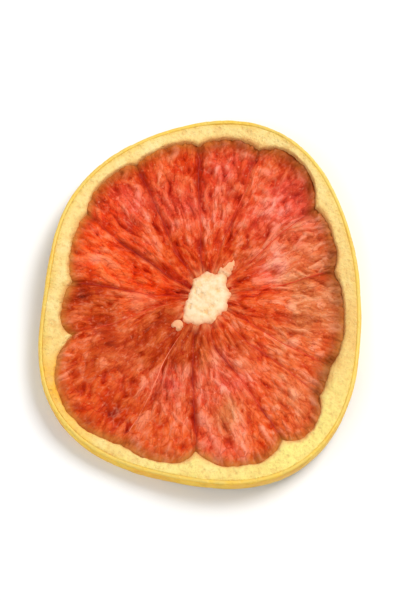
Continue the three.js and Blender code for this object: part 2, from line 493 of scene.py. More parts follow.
@dataclass
class Surface:
    """A closed surface in numbers: points in metres, four-sided or three-sided faces,
    named values at the points and, if it has one, a UV place for each point."""

    points: Array
    quads: Array
    values: dict[str, Array]
    triangles: Array | None = None
    uv: Array | None = None

    def to_object(self, name: str, material: Material) -> Piece:
        """Makes the Blender object.

        Args:
            name: Name of the piece.
            material: Its finish.

        Returns:
            The object, at the origin, with smooth faces.
        """
        quads = self.quads.reshape(-1, 4)
        triangles = np.zeros((0, 3), int) if self.triangles is None else self.triangles
        corners = np.concatenate([quads.ravel(), triangles.ravel()])
        sizes = np.concatenate([np.full(len(quads), 4), np.full(len(triangles), 3)])
        mesh = bpy.data.meshes.new(name)
        mesh.vertices.add(len(self.points))
        mesh.vertices.foreach_set("co", self.points.astype(np.float32).ravel())
        mesh.loops.add(len(corners))
        mesh.loops.foreach_set("vertex_index", corners.astype(np.int32))
        mesh.polygons.add(len(sizes))
        starts = np.concatenate([[0], np.cumsum(sizes)[:-1]])
        mesh.polygons.foreach_set("loop_start", starts.astype(np.int32))
        mesh.polygons.foreach_set("use_smooth", np.ones(len(sizes), bool))
        for key, value in self.values.items():
            layer = mesh.attributes.new(key, "FLOAT", "POINT")
            layer.data.foreach_set("value", value.astype(np.float32).ravel())
        if self.uv is not None:
            layer = mesh.uv_layers.new(name="UVMap")
            layer.data.foreach_set("uv", self.uv[corners].astype(np.float32).ravel())
        mesh.update(calc_edges=True)
        mesh.validate()
        mesh.materials.append(material)
        piece = bpy.data.objects.new(name, mesh)
        bpy.context.scene.collection.objects.link(piece)
        return piece


def grid_quads(index: Array) -> Array:
    """Faces between the rows and columns of a grid of point numbers.

    Args:
        index: Point numbers, rows by columns. A row or column is given twice to close it.

    Returns:
        Four point numbers a face, turned so that a face points up where the columns run
        along X and the rows along Y.
    """
    corners = (index[:-1, :-1], index[:-1, 1:], index[1:, 1:], index[1:, :-1])
    return np.stack(corners, axis=-1).reshape(-1, 4)


def pillow_quads(rows: int, columns: int) -> Array:
    """Faces of an upper and an under sheet that share their border.

    Args:
        rows: Rows of each sheet.
        columns: Columns of each sheet.

    Returns:
        The faces, with the points numbered as pillow_order gives them.
    """
    top = np.arange(rows * columns).reshape(rows, columns)
    bottom = top.copy()
    inner = (rows - 2) * (columns - 2)
    bottom[1:-1, 1:-1] = rows * columns + np.arange(inner).reshape(rows - 2, columns - 2)
    return np.concatenate([grid_quads(top), grid_quads(bottom)[:, ::-1]])


def pillow_order(upper: Array, under: Array) -> Array:
    """Points or values of a pillow: the upper sheet, and the under one but for its border."""
    rest = upper.shape[2:]
    return np.concatenate([upper.reshape(-1, *rest), under[1:-1, 1:-1].reshape(-1, *rest)])


def closed_index(rows: int, columns: int) -> Array:
    """Point numbers of a grid of which each row closes on itself."""
    index = np.arange(rows * columns).reshape(rows, columns)
    return np.concatenate([index, index[:, :1]], axis=1)


def pole_quads(rows: int, columns: int) -> Array:
    """Faces of a grid with closed rows, of which the first and the last are one point."""
    index = closed_index(rows, columns)
    index[0] = index[0, 0]
    index[-1] = index[-1, 0]
    return grid_quads(index)


def belt_order(upper: Array, under: Array) -> Array:
    """Joins two sheets that share their first and last columns into a belt."""
    return np.concatenate([upper, under[:, -2:0:-1]], axis=1)


def belt_quads(rows: int, columns: int) -> Array:
    """Faces of a grid that closes on itself both ways, as a ring does."""
    index = closed_index(rows, columns)
    return grid_quads(np.concatenate([index, index[:1]]))


# ---------------------------------------------------------------- finishes


class NodeTree:
    """Short calls for the nodes of one material, and what is laid on it so far.

    colour is the colour with all the tints laid over it, and normal the bumps.
    """

    def __init__(self, name: str) -> None:
        """Starts an empty material of the given name."""
        self.material = bpy.data.materials.new(name)
        self.material.use_nodes = True
        self.tree = self.material.node_tree
        self.tree.nodes.clear()
        self.shader = self.node("ShaderNodeBsdfPrincipled")
        self.node("ShaderNodeOutputMaterial", {"Surface": self.shader.outputs["BSDF"]})
        self.colour: Socket | None = None
        self.normal: Socket | None = None

    def node(self, kind: str, inputs: Inputs | None = None, **settings: object) -> bpy.types.Node:
        """Adds a node.

        Args:
            kind: Its kind.
            inputs: What each input gets, by name or number: a socket or a plain value.
            settings: The node's own settings.

        Returns:
            The node.
        """
        made = self.tree.nodes.new(kind)
        for key, value in settings.items():
            setattr(made, key, value)
        self.feed(made, inputs or {})
        return made

    def feed(self, node: bpy.types.Node, inputs: Inputs) -> None:
        """Links the inputs that are given a socket, and sets the plain value of the others."""
        for key, value in inputs.items():
            if isinstance(value, Socket):
                self.tree.links.new(value, node.inputs[key])
            else:
                node.inputs[key].default_value = value

    def attribute(self, name: str) -> Socket:
        """A named value of the surface."""
        return self.node("ShaderNodeAttribute", attribute_name=name).outputs["Fac"]

    def places(self, *scale: float, output: str = "Object") -> Socket:
        """Texture places, stretched.

        Args:
            scale: One factor for all three axes, or one for each.
            output: Object or UV.

        Returns:
            The stretched places.
        """
        source = self.node("ShaderNodeTexCoord").outputs[output]
        factors = scale * 3 if len(scale) == 1 else scale
        inputs = {"Vector": source, "Scale": factors}
        return self.node("ShaderNodeMapping", inputs).outputs["Vector"]

    def noise(self, places: Socket, detail: float = 3.0, rough: float = 0.5) -> Socket:
        """Soft noise over the given places, from 0 to 1."""
        inputs = {"Vector": places, "Scale": 1.0, "Detail": detail, "Roughness": rough}
        return self.node("ShaderNodeTexNoise", inputs).outputs["Fac"]

    def cells(self, places: Socket, output: str = "Distance", feature: str = "F1") -> Socket:
        """A pattern of cells round scattered spots.

        Args:
            places: Texture places.
            output: Distance, or Color for a random colour of each cell.
            feature: F1 for the distance to the spot, DISTANCE_TO_EDGE for that to the border.

        Returns:
            The chosen value.
        """
        inputs = {"Vector": places, "Scale": 1.0}
        return self.node("ShaderNodeTexVoronoi", inputs, feature=feature).outputs[output]

    def bent(self, places: Socket, amount: float) -> Socket:
        """Texture places pushed about by noise, by up to half the amount each way."""
        noise = self.node("ShaderNodeTexNoise", {"Vector": places, "Scale": 0.8})
        inputs = {0: noise.outputs["Color"], 1: (amount, amount, amount), 2: places}
        return self.node("ShaderNodeVectorMath", inputs, operation="MULTIPLY_ADD").outputs["Vector"]

    def math(self, operation: str, first: object, second: object) -> Socket:
        """Joins two numbers by one operation."""
        return self.node("ShaderNodeMath", {0: first, 1: second}, operation=operation).outputs[0]

    def span(self, value: Socket, low: float, high: float, start: float = 0.0,
             end: float = 1.0) -> Socket:
        """Maps low to high onto start to end, and holds it there."""
        inputs = {"Value": value, "From Min": low, "From Max": high, "To Min": start, "To Max": end}
        return self.node("ShaderNodeMapRange", inputs).outputs["Result"]

    def swayed(self, value: Socket, noise: Socket, push: float) -> Socket:
        """A value pushed up and down by noise, by up to the given amount."""
        return self.math("ADD", value, self.span(noise, 0.3, 0.7, -push, push))

    def ramp(self, value: Socket, stops: Stops) -> Socket:
        """Colour that changes evenly between the given stops."""
        made = self.node("ShaderNodeValToRGB", {"Fac": value})
        elements = made.color_ramp.elements
        while len(elements) < len(stops):
            elements.new(0.5)
        for element, (place, colour) in zip(elements, stops):
            element.position = place
            element.color = (*colour, 1.0)
        return made.outputs["Color"]

    def blend(self, share: Socket, first: Socket | Colour, second: Socket | Colour) -> Socket:
        """Mixes two colours by a share from 0 to 1."""
        both = ((*tint, 1.0) if isinstance(tint, tuple) else tint for tint in (first, second))
        inputs = dict(zip(("Factor", 6, 7), (share, *both)))
        return self.node("ShaderNodeMix", inputs, data_type="RGBA").outputs[2]

    def lay(self, tint: Socket | Colour, share: Socket, part: Socket | None = None) -> None:
        """Lays a tint over the colour.

        Args:
            tint: The tint.
            share: How far it covers what is below, from 0 to 1.
            part: Another share, to multiply the first by.
        """
        if part is not None:
            share = self.math("MULTIPLY", share, part)
        self.colour = self.blend(share, self.colour, tint)

    def bump(self, height: Socket, size: float, strength: float) -> None:
        """Lays bumps of the given size in millimetres over those that are there."""
        inputs = {"Height": height, "Distance": size * MM, "Strength": strength}
        if self.normal is not None:
            inputs["Normal"] = self.normal
        self.normal = self.node("ShaderNodeBump", inputs).outputs["Normal"]

    def finish(self, roughness: Socket | float, specular: float | None = None,
               inward: tuple[float, Colour] | None = None) -> Material:
        """Feeds the shader.

        Args:
            roughness: One number, or a socket where it differs.
            specular: The specular level, where it isn't the shader's own.
            inward: Share of the light that goes in and comes out elsewhere, and how many
                millimetres its red, green and blue go.

        Returns:
            The material.
        """
        inputs = {"Base Color": self.colour, "Roughness": roughness}
        if specular is not None:
            inputs["Specular IOR Level"] = specular
        if self.normal is not None:
            inputs["Normal"] = self.normal
        if inward is not None:
            inputs["Subsurface Weight"], inputs["Subsurface Radius"] = inward
            inputs["Subsurface Scale"] = MM
        self.feed(self.shader, inputs)
        return self.material


def linear(red: int, green: int, blue: int) -> Colour:
    """Colour for a shader from the 0 to 255 numbers of a screen colour.

    Args:
        red: Screen red.
        green: Screen green.
        blue: Screen blue.

    Returns:
        The three numbers with the screen's gamma taken off.
    """

    def straight(number: int) -> float:
        """One channel, by the two-part rule of sRGB."""
        part = number / 255.0
        return part / 12.92 if part <= 0.04045 else ((part + 0.055) / 1.055) ** 2.4

    return straight(red), straight(green), straight(blue)


class Stain(Enum):
    """Kinds of uneven colour in the flesh, each a named value of its surface."""

    EMBER = "ember"
    ROSE = "rose"
    TAN = "tan"
    RUSSET = "russet"


def even_stops(*colours: Colour) -> Stops:
    """Stops of a ramp at even distances from 0 to 1."""
    return tuple((number / (len(colours) - 1), colour) for number, colour in enumerate(colours))


@dataclass(frozen=True)
class FleshFinish:
    """Dried juice sacs: deep red low down to peach on the ridges, partly painted shade and
    highlight, in uneven clouds.
    """

    plain: Stops = (
        (0.0, linear(156, 12, 0)),
        (0.34, linear(209, 56, 6)),
        (0.66, linear(231, 99, 41)),
        (1.0, linear(250, 148, 114)),
    )
    stains: tuple[tuple[Stain, Stops], ...] = (
        (Stain.EMBER, even_stops(linear(178, 12, 0), linear(240, 66, 6), linear(253, 122, 58))),
        (Stain.ROSE, even_stops(linear(152, 20, 10), linear(225, 80, 58), linear(252, 152, 136))),
        (Stain.TAN, even_stops(linear(148, 56, 12), linear(212, 116, 64), linear(242, 172, 126))),
        (Stain.RUSSET, even_stops(linear(98, 10, 0), linear(178, 50, 4), linear(222, 104, 42))),
    )
    # Deep red of the painted shade in creases, also laid as deep red specks.
    crease_and_shade: Colour = linear(158, 22, 0)
    # Dried brown at the flesh's edge, with the painted shadow of the peel's wall in it.
    brown: Colour = linear(122, 54, 10)
    straw: Colour = linear(182, 130, 54)
    # Pale peach, laid as painted highlight specks and as pale walls between the smallest sacs.
    highlight_and_wall: Colour = linear(248, 168, 130)
    halo: Colour = linear(240, 150, 98)
    roughness: float = 0.42
    specular: float = 0.07

    def build(self) -> Material:
        """Makes the material: tone, stains and the painted shade of creases come with the
        surface, specks of painted highlight and fine wrinkles from noise, and the smallest
        sacs from cells stretched along them."""
        net = NodeTree("flesh_finish")
        mottle = net.noise(net.places(420.0), 4.0, 0.6)
        streak = net.noise(net.places(1000.0, 330.0, 1.0, output="UV"), 3.0, 0.55)
        small = net.bent(net.places(1150.0, 420.0, 1.0, output="UV"), 0.9)
        tone = net.swayed(net.swayed(net.attribute("tone"), mottle, 0.06), streak, 0.04)
        tone = net.math("ADD", tone, net.span(net.cells(small, "Color"), 0.1, 0.9, -0.07, 0.07))
        net.colour = net.ramp(tone, self.plain)
        for stain, stops in self.stains:
            net.lay(net.ramp(tone, stops), net.attribute(stain.value))
        specks = net.noise(net.places(1300.0), 2.0, 0.6)
        # Painted highlights: pale specks scattered by noise.
        net.lay(self.highlight_and_wall, net.span(specks, 0.62, 0.74, 0.0, 0.35))
        net.lay(self.crease_and_shade, net.span(specks, 0.4, 0.3, 0.0, 0.4))
        border = net.cells(small, "Distance", "DISTANCE_TO_EDGE")
        # Painted shade in the creases between the smallest sacs.
        net.lay(self.crease_and_shade, net.span(border, 0.1, 0.0), net.span(mottle, 0.6, 0.4, 0.1, 0.5))
        # Pale walls between the smallest sacs.
        net.lay(self.highlight_and_wall, net.span(border, 0.16, 0.0), net.span(mottle, 0.5, 0.66, 0.0, 0.26))
        # Painted shade from the surface: over open skins, where sacs meet and down the walls.
        net.lay(self.crease_and_shade, net.span(net.attribute("crease_and_shade"), 0.1, 1.0, 0.0, 0.66))
        # rim: dried brown with painted shadow of the peel's wall; fringe is peel fibre, halo a
        # stain.
        for name, tint in (("rim", self.brown), ("fringe", self.straw), ("halo", self.halo)):
            net.lay(tint, net.attribute(name))
        net.bump(streak, 0.2, 0.5)
        net.bump(net.span(border, 0.0, 0.25), 0.12, 0.6)
        net.bump(net.noise(net.places(2600.0), 2.0), 0.06, 0.35)
        rough = net.span(streak, 0.3, 0.7, self.roughness - 0.08, self.roughness + 0.16)
        return net.finish(rough, self.specular, (0.12, (1.0, 0.25, 0.1)))


@dataclass(frozen=True)
class SkinFinish:
    """Thin dried skins: pink where level with the flesh, dark wine red of painted shade where sunk.
    """

    tones: Stops = even_stops(linear(152, 20, 0), linear(214, 62, 26), linear(246, 140, 104))

    def build(self) -> Material:
        """Makes the material: the tone comes with the surface."""
        net = NodeTree("skin_finish")
        mottle = net.noise(net.places(900.0))
        net.colour = net.ramp(net.swayed(net.attribute("tone"), mottle, 0.12), self.tones)
        net.bump(mottle, 0.1, 0.5)
        return net.finish(net.span(mottle, 0.3, 0.7, 0.45, 0.65), 0.3)


@dataclass(frozen=True)
class WhiteFinish:
    """The white of the peel, dried to cream-yellow: matt, fine-pored, yellower outwards."""

    inner: Colour = linear(234, 174, 100)
    pale: Colour = linear(249, 218, 138)
    yellow: Colour = linear(240, 204, 104)
    lemon: Colour = linear(251, 234, 134)
    tan: Colour = linear(236, 188, 108)
    # A golden tint on one side, partly the peel's own colour and partly painted bounce light.
    honey_and_bounce: Colour = linear(250, 186, 60)
    brown: Colour = linear(192, 130, 58)
    # Laid as real stains in spots and fibres, and as painted shade in the hollows and pores.
    stain: Colour = linear(228, 170, 90)
    bright: Colour = linear(254, 232, 168)

    def build(self) -> Material:
        """Makes the material: the colour runs from the flesh to the rind, lemon, tan or
        honey in places, the honey partly painted bounce light, and browned at the flesh in
        one, with faint clouds and stains, painted shade in its hollows and pores, and pores
        and fibres as bumps."""
        net = NodeTree("white_finish")
        cloud = net.noise(net.places(160.0), 4.0, 0.55)
        across = net.swayed(net.attribute("across"), cloud, 0.12)
        stops = ((0.05, self.inner), (0.3, self.pale), (0.6, self.pale), (0.95, self.yellow))
        net.colour = net.ramp(across, stops)
        inside = net.span(across, 0.1, 0.3)
        net.lay(self.bright, net.span(cloud, 0.5, 0.68, 0.0, 0.6), inside)
        net.lay(self.lemon, net.attribute("lemon"), inside)
        net.lay(self.tan, net.attribute("tan"), inside)
        # Honey: partly painted bounce light.
        net.lay(self.honey_and_bounce, net.attribute("honey_and_bounce"), net.span(cloud, 0.36, 0.62, 1.0, 0.55))
        net.lay(self.brown, net.attribute("brown"), net.span(across, 0.42, 0.12))
        spots = net.noise(net.places(420.0), 5.0, 0.65)
        fibre = net.noise(net.places(1000.0, 1000.0, 500.0), 5.0, 0.65)
        pores = net.span(net.cells(net.bent(net.places(1100.0), 0.8)), 0.1, 0.5)
        net.lay(self.stain, net.span(spots, 0.54, 0.72, 0.0, 0.55))
        # Painted shade in the hollows.
        net.lay(self.stain, net.span(net.attribute("low"), 0.1, 1.0, 0.0, 0.6))
        net.lay(self.stain, net.span(fibre, 0.5, 0.35, 0.0, 0.45))
        # Painted shade in the pores.
        net.lay(self.stain, net.span(pores, 0.3, 0.0, 0.0, 0.35))
        net.bump(fibre, 0.7, 0.8)
        net.bump(pores, 0.16, 0.6)
        return net.finish(net.span(spots, 0.3, 0.7, 0.62, 0.8), 0.3, (0.1, (1.0, 0.7, 0.4)))


@dataclass(frozen=True)
class RindFinish:
    """The thin golden rind: oil-gland pits, olive in places, paler where it is cut."""

    gold: Colour = linear(250, 200, 40)
    deep: Colour = linear(240, 170, 28)
    olive: Colour = linear(206, 166, 44)
    edge: Colour = linear(252, 216, 78)
    cut: Colour = linear(230, 196, 92)

    def build(self) -> Material:
        """Makes the material: patches of gold and olive, with pits as bumps."""
        net = NodeTree("rind_finish")
        cloud = net.noise(net.places(120.0, 120.0, 200.0), 4.0, 0.55)
        net.colour = net.ramp(cloud, ((0.32, self.deep), (0.55, self.gold), (0.7, self.edge)))
        spots = net.noise(net.places(330.0), 5.0, 0.6)
        net.lay(self.olive, net.span(spots, 0.54, 0.72, 0.0, 0.55))
        pits = net.span(net.cells(net.places(1150.0)), 0.0, 0.5)
        net.lay(self.deep, net.span(pits, 0.35, 0.0, 0.0, 0.4))
        net.lay(self.cut, net.attribute("cut"), net.span(spots, 0.35, 0.6, 0.5, 1.0))
        net.bump(pits, 0.16, 0.7)
        return net.finish(net.span(spots, 0.3, 0.7, 0.4, 0.58), 0.45)


@dataclass(frozen=True)
class PithFinish:
    """Dry spongy pith: cream, with painted shade in its pits, and peach where flesh has stained it.
    """

    cream: Colour = linear(246, 221, 181)
    warm: Colour = linear(243, 202, 148)
    # Painted shade for the pits.
    pit: Colour = linear(232, 178, 114)
    blush: Colour = linear(240, 158, 108)

    def build(self) -> Material:
        """Makes the material: the pits' depth and the blush come with the surface."""
        net = NodeTree("pith_finish")
        cloud = net.noise(net.places(750.0), 5.0, 0.65)
        net.colour = net.ramp(cloud, ((0.38, self.warm), (0.58, self.cream)))
        # Painted shade in the pits, by their depth.
        net.lay(self.pit, net.span(net.attribute("pit"), 0.2, 1.0, 0.0, 0.5))
        net.lay(self.blush, net.attribute("blush"), net.span(cloud, 0.35, 0.65, 0.55, 0.95))
        net.bump(net.noise(net.places(1700.0), 5.0, 0.65), 0.3, 0.6)
        return net.finish(0.85, 0.2)


@dataclass(frozen=True)
class WebFinish:
    """The thin film at the bottom of every gap, in dried-flesh reds kept dark as painted shade."""

    # Dried-flesh reds kept darker than the flesh: painted shade at the bottom of the gaps.
    gap_shade: Colour = linear(96, 16, 8)
    brown: Colour = linear(138, 44, 18)

    def build(self) -> Material:
        """Makes the material: two dark reds in clouds."""
        net = NodeTree("web_finish")
        cloud = net.noise(net.places(400.0))
        net.colour = net.ramp(cloud, ((0.35, self.gap_shade), (0.65, self.brown)))
        net.bump(cloud, 0.2, 0.4)
        return net.finish(0.5)


@dataclass(frozen=True)
class FloorFinish:
    """Plain pale floor."""

    pale: Colour = (0.93, 0.93, 0.93)
    shade: float = 0.985

    def build(self) -> Material:
        """Makes the material, with a hardly visible cloudiness."""
        net = NodeTree("floor_finish")
        cloud = net.span(net.noise(net.places(6.0), 2.0), 0.3, 0.7)
        net.colour = net.blend(cloud, self.pale, tuple(self.shade * part for part in self.pale))
        return net.finish(0.9)


# ---------------------------------------------------------------- pieces


class Face(Enum):
    """Which cut face a surface belongs to."""

    UPPER = 1
    UNDER = -1


@dataclass(frozen=True)
class Patch:
    """A cloudy patch: its place about the pith, its size and its strength."""

    angle: float
    radius: float
    size: float
    share: float

    def value(self, flat: Array) -> Array:
        """Strength at flat places: a bell curve over the distance from the patch's middle."""
        away = flat - flat_points(self.radius, self.angle)
        return self.share * bell(np.hypot(away[..., 0], away[..., 1]), self.size)


# The patches of each stain, and under None those that are only paler, or deeper below 0.
PATCHES: dict[Stain | None, tuple[Patch, ...]] = {
    kind: tuple(Patch(*sizes) for sizes in rows)
    for kind, rows in (
        (Stain.EMBER, (
            (172, 11, 5, 0.9), (163, 24, 9, 0.9), (142, 31, 5, 0.7), (5, 11, 5, 0.6),
            (104, 30, 3, 0.35), (172, 15, 4, 0.6),
        )),
        (Stain.ROSE, (
            (47, 26, 8, 0.9), (26, 16, 4, 0.8), (88, 20, 6, 0.5), (82, 30, 5, 0.5),
            (128, 25, 5, 0.6), (246, 23, 4, 0.6), (265, 20, 6, 0.6), (290, 20, 5, 0.45),
            (108, 24, 6, 0.5), (275, 32, 4, 0.7),
        )),
        (Stain.TAN, (
            (0, 24, 7, 1.0), (345, 24, 5, 0.5), (30, 22, 5, 0.6), (279, 27, 4, 0.7),
            (324, 22, 5, 0.25), (214, 22, 5, 0.5), (312, 30, 5, 0.5),
        )),
        (Stain.RUSSET, (
            (180, 26, 4.5, 1.1), (195, 24, 6, 0.45), (208, 12, 4, 0.7), (208, 31, 5, 0.5),
            (226, 14, 6, 1.4), (248, 12, 5, 1.2), (238, 29, 6, 0.6), (300, 12, 3, 0.6),
            (45, 12, 3, 0.5), (60, 34, 3, 0.6),
        )),
        (None, (
            (168, 15, 5, 0.16), (187, 16, 4, 0.22), (24, 16, 4.5, 0.24), (84, 19, 3.5, 0.14),
            (272, 15, 4.5, 0.16), (291, 17, 2.5, 0.1), (163, 26, 4, 0.14),
            (64, 20.5, 4, -0.14), (284, 20.5, 3.5, -0.12), (220, 14, 4.5, -0.1),
            (240, 24, 9, 0.1), (208, 17, 3, 0.12), (325, 16, 3.5, 0.1), (8, 12, 3, -0.12),
            (180, 8.5, 2.5, -0.15), (336, 18, 5, -0.08), (0, 24, 6, 0.07),
            (207, 23, 2.5, -0.2), (178, 28, 2.5, -0.16), (95, 11.5, 2, -0.2),
            (94, 24, 1.7, -0.16), (94, 28, 2, -0.16), (121, 9.7, 2.2, -0.23),
            (122, 16, 2.2, -0.1), (118, 30, 2, -0.14), (145, 9.8, 2.4, -0.2),
            (143, 20, 2, -0.12), (253, 13, 3, -0.1),
        )),
    )
}


@dataclass(frozen=True)
class Scatter:
    """A size that differs from sac to sac: the middle one, its spread, least and most."""

    middle: float
    spread: float
    least: float
    most: float

    def draw(self, rng: np.random.Generator, count: int) -> Array:
        """Random sizes: the middle one times a normal power of e, held to least and most."""
        drawn = self.middle * np.exp(rng.normal(0.0, self.spread, count))
        return np.clip(drawn, self.least, self.most)


@dataclass(frozen=True)
class SacRelief:
    """What the sacs give at some points: height, painted shade where they meet, pale wall, tint and
    wrinkles.
    """

    height: Array
    crease_and_shade: Array
    wall: Array
    tint: Array
    wrinkle: Array


@dataclass(frozen=True)
class Sacs:
    """Juice sacs in one face of one segment: long low lumps that point at the pith.

    Each has a middle, an axis, a half length, a half width, a level, a tint and a hollow,
    which says how far it has fallen in between its walls. Where two of them meet there is
    a crease, and in places they have run together.
    """

    middles: Array
    axes: Array
    half_lengths: Array
    half_widths: Array
    levels: Array
    tints: Array
    hollows: Array
    seed: int
    dome: float = 0.85
    taper: float = 0.3
    fallen: float = 0.3
    # Width of the painted shade where two sacs meet.
    crease_width: float = 0.09
    wall_width: float = 0.06
    merge_least: float = 0.03
    merge_more: float = 0.38
    hollow_depth: float = 1.7
    wrinkle_length: float = 0.9
    wrinkle_width: float = 0.22
    step: ClassVar[float] = 1.4
    nearest: ClassVar[float] = 2.0
    further: ClassVar[float] = 0.5
    row_spread: ClassVar[float] = 0.8
    turn_spread: ClassVar[float] = 16.0
    level_spread: ClassVar[float] = 0.2
    fallen_share: ClassVar[float] = 0.4
    bend: ClassVar[Noise] = Noise(0.5, 2.4, 50, 2)
    slow_bend: ClassVar[Noise] = Noise(0.8, 6.0, 60, 1)
    merging: ClassVar[Noise] = Noise(1.0, 3.2, 70, 2)
    wrinkles: ClassVar[Noise] = Noise(1.0, 1.0, 17, 2)
    lengths: ClassVar[Scatter] = Scatter(2.3, 0.38, 1.1, 5.0)
    widths: ClassVar[Scatter] = Scatter(0.95, 0.32, 0.5, 1.8)

    @classmethod
    def scatter(cls, wedge: Wedge, rows: Array, seed: int) -> "Sacs":
        """Lays sacs over a segment in uneven rows.

        Args:
            wedge: Gives the angle at a radius and a share of the way across the segment.
            rows: Radii of the rows.
            seed: Picks the uneven places, turns and sizes.

        Returns:
            The sacs. Each row has a sac for every sac's width, and each sac points along
            the line that keeps its share of the way across.
        """
        rng = np.random.default_rng(seed)
        radii = []
        parts = []
        for number, radius in enumerate(rows):
            ends = wedge(np.array([radius, radius]), np.array([0.0, 1.0]))
            width = math.radians(float(ends[1] - ends[0])) * radius
            count = max(2, round(width / cls.step) + 1)
            spread = (np.arange(count) + 0.5 * (number % 2)) / count
            parts.append(spread + rng.normal(0.0, 0.3, count) / count)
            radii.append(radius + rng.normal(0.0, cls.row_spread, count))
        radius = np.maximum(np.concatenate(radii), cls.nearest)
        part = np.concatenate(parts)
        middles = flat_points(radius, wedge(radius, part))[:, :2]
        further = radius + cls.further
        apart = flat_points(further, wedge(further, part))[:, :2] - middles
        count = len(radius)
        lean = np.arctan2(apart[:, 1], apart[:, 0])
        turn = lean + np.radians(rng.normal(0.0, cls.turn_spread, count))
        fallen = rng.random(count) < cls.fallen_share
        return cls(
            middles=middles,
            axes=stacked(np.cos(turn), np.sin(turn)),
            half_lengths=cls.lengths.draw(rng, count),
            half_widths=cls.widths.draw(rng, count),
            levels=rng.normal(0.0, cls.level_spread, count),
            tints=rng.uniform(0.0, 1.0, count),
            hollows=np.where(fallen, rng.uniform(0.5, 1.0, count), rng.uniform(0.0, 0.3, count)),
            seed=seed,
        )

    def relief(self, flat: Array) -> SacRelief:
        """Works out the sacs at some points.

        Args:
            flat: Flat places about the pith in millimetres.

        Returns:
            The relief. A sac's own height is its level plus its dome times one less the
            squared distance, measured in its own half length and half width, and its half
            width grows outwards, which makes it a drop. The highest sac wins. Its lead
            over the next one is 0 where two meet. A small lead is rounded off where noise
            says that the two have run together, and a fallen sac sinks as its lead grows.
            Wrinkles are noise that is stretched along the sac.
        """
        bend = self.bend.at(flat, self.seed) + self.slow_bend.at(flat, self.seed)
        bent = flat[..., :2] + stacked(bend, -bend)
        apart = bent.reshape(-1, 1, 2) - self.middles
        along = (apart * self.axes).sum(axis=-1) / self.half_lengths
        beside = apart[..., 1] * self.axes[:, 0] - apart[..., 0] * self.axes[:, 1]
        beside = beside / (self.half_widths * (1.0 + self.taper * np.clip(along, -1.0, 1.0)))
        heights = self.levels + self.dome * (1.0 - along**2 - beside**2)
        best_two = np.partition(heights, -2, axis=1)[:, -2:]
        top = np.argmax(heights, axis=1)
        rank = np.arange(len(top))
        shape = flat.shape[:-1]
        lead = (best_two[:, 1] - best_two[:, 0]).reshape(shape)
        run = smooth_step(self.merging.at(flat, self.seed), -0.25, 0.45)
        merge = self.merge_least + self.merge_more * run
        rounded = best_two[:, 1].reshape(shape) + np.maximum(merge - lead, 0.0) ** 2 / (4.0 * merge)
        hollow = self.hollows[top].reshape(shape)
        sunk = self.hollow_depth * hollow * self.fallen * (1.0 - np.exp(-lead / self.fallen))
        lengthwise = along[rank, top] / self.wrinkle_length
        inside = stacked(lengthwise, beside[rank, top] / self.wrinkle_width, 7.0 * top)
        # Painted shade where two sacs meet, less where they have run together or fallen in.
        meeting = np.exp(-lead / self.crease_width) * (1.0 - 0.8 * run)
        return SacRelief(
            height=np.clip(rounded, -0.3, 1.3) - sunk,
            crease_and_shade=meeting * (1.0 - hollow),
            wall=np.exp(-lead / self.wall_width) * hollow * (1.0 - 0.6 * run),
            tint=self.tints[top].reshape(shape),
            wrinkle=self.wrinkles.at(inside).reshape(shape),
        )


def arc_length(wedge: Wedge, radius: Array) -> Array:
    """Width of a wedge between two skins at each radius, in millimetres."""
    return np.radians(wedge(radius, 1.0) - wedge(radius, 0.0)) * radius


@dataclass(frozen=True)
class Paling:
    """How much each thing pales the flesh from its middle tone, or deepens it below 0."""

    middle: float = 0.63
    depth: float = -0.22
    cloud: float = 0.13
    pith: float = -0.15
    folds: float = 0.25
    streaks: float = 0.36
    # height and wrinkle: paler up on the sacs and wrinkles, deeper low down: painted highlight and
    # shade, with some juice gathered low down.
    height: float = 0.3
    wrinkle: float = 0.08
    tint: float = 0.3
    wall: float = 0.22


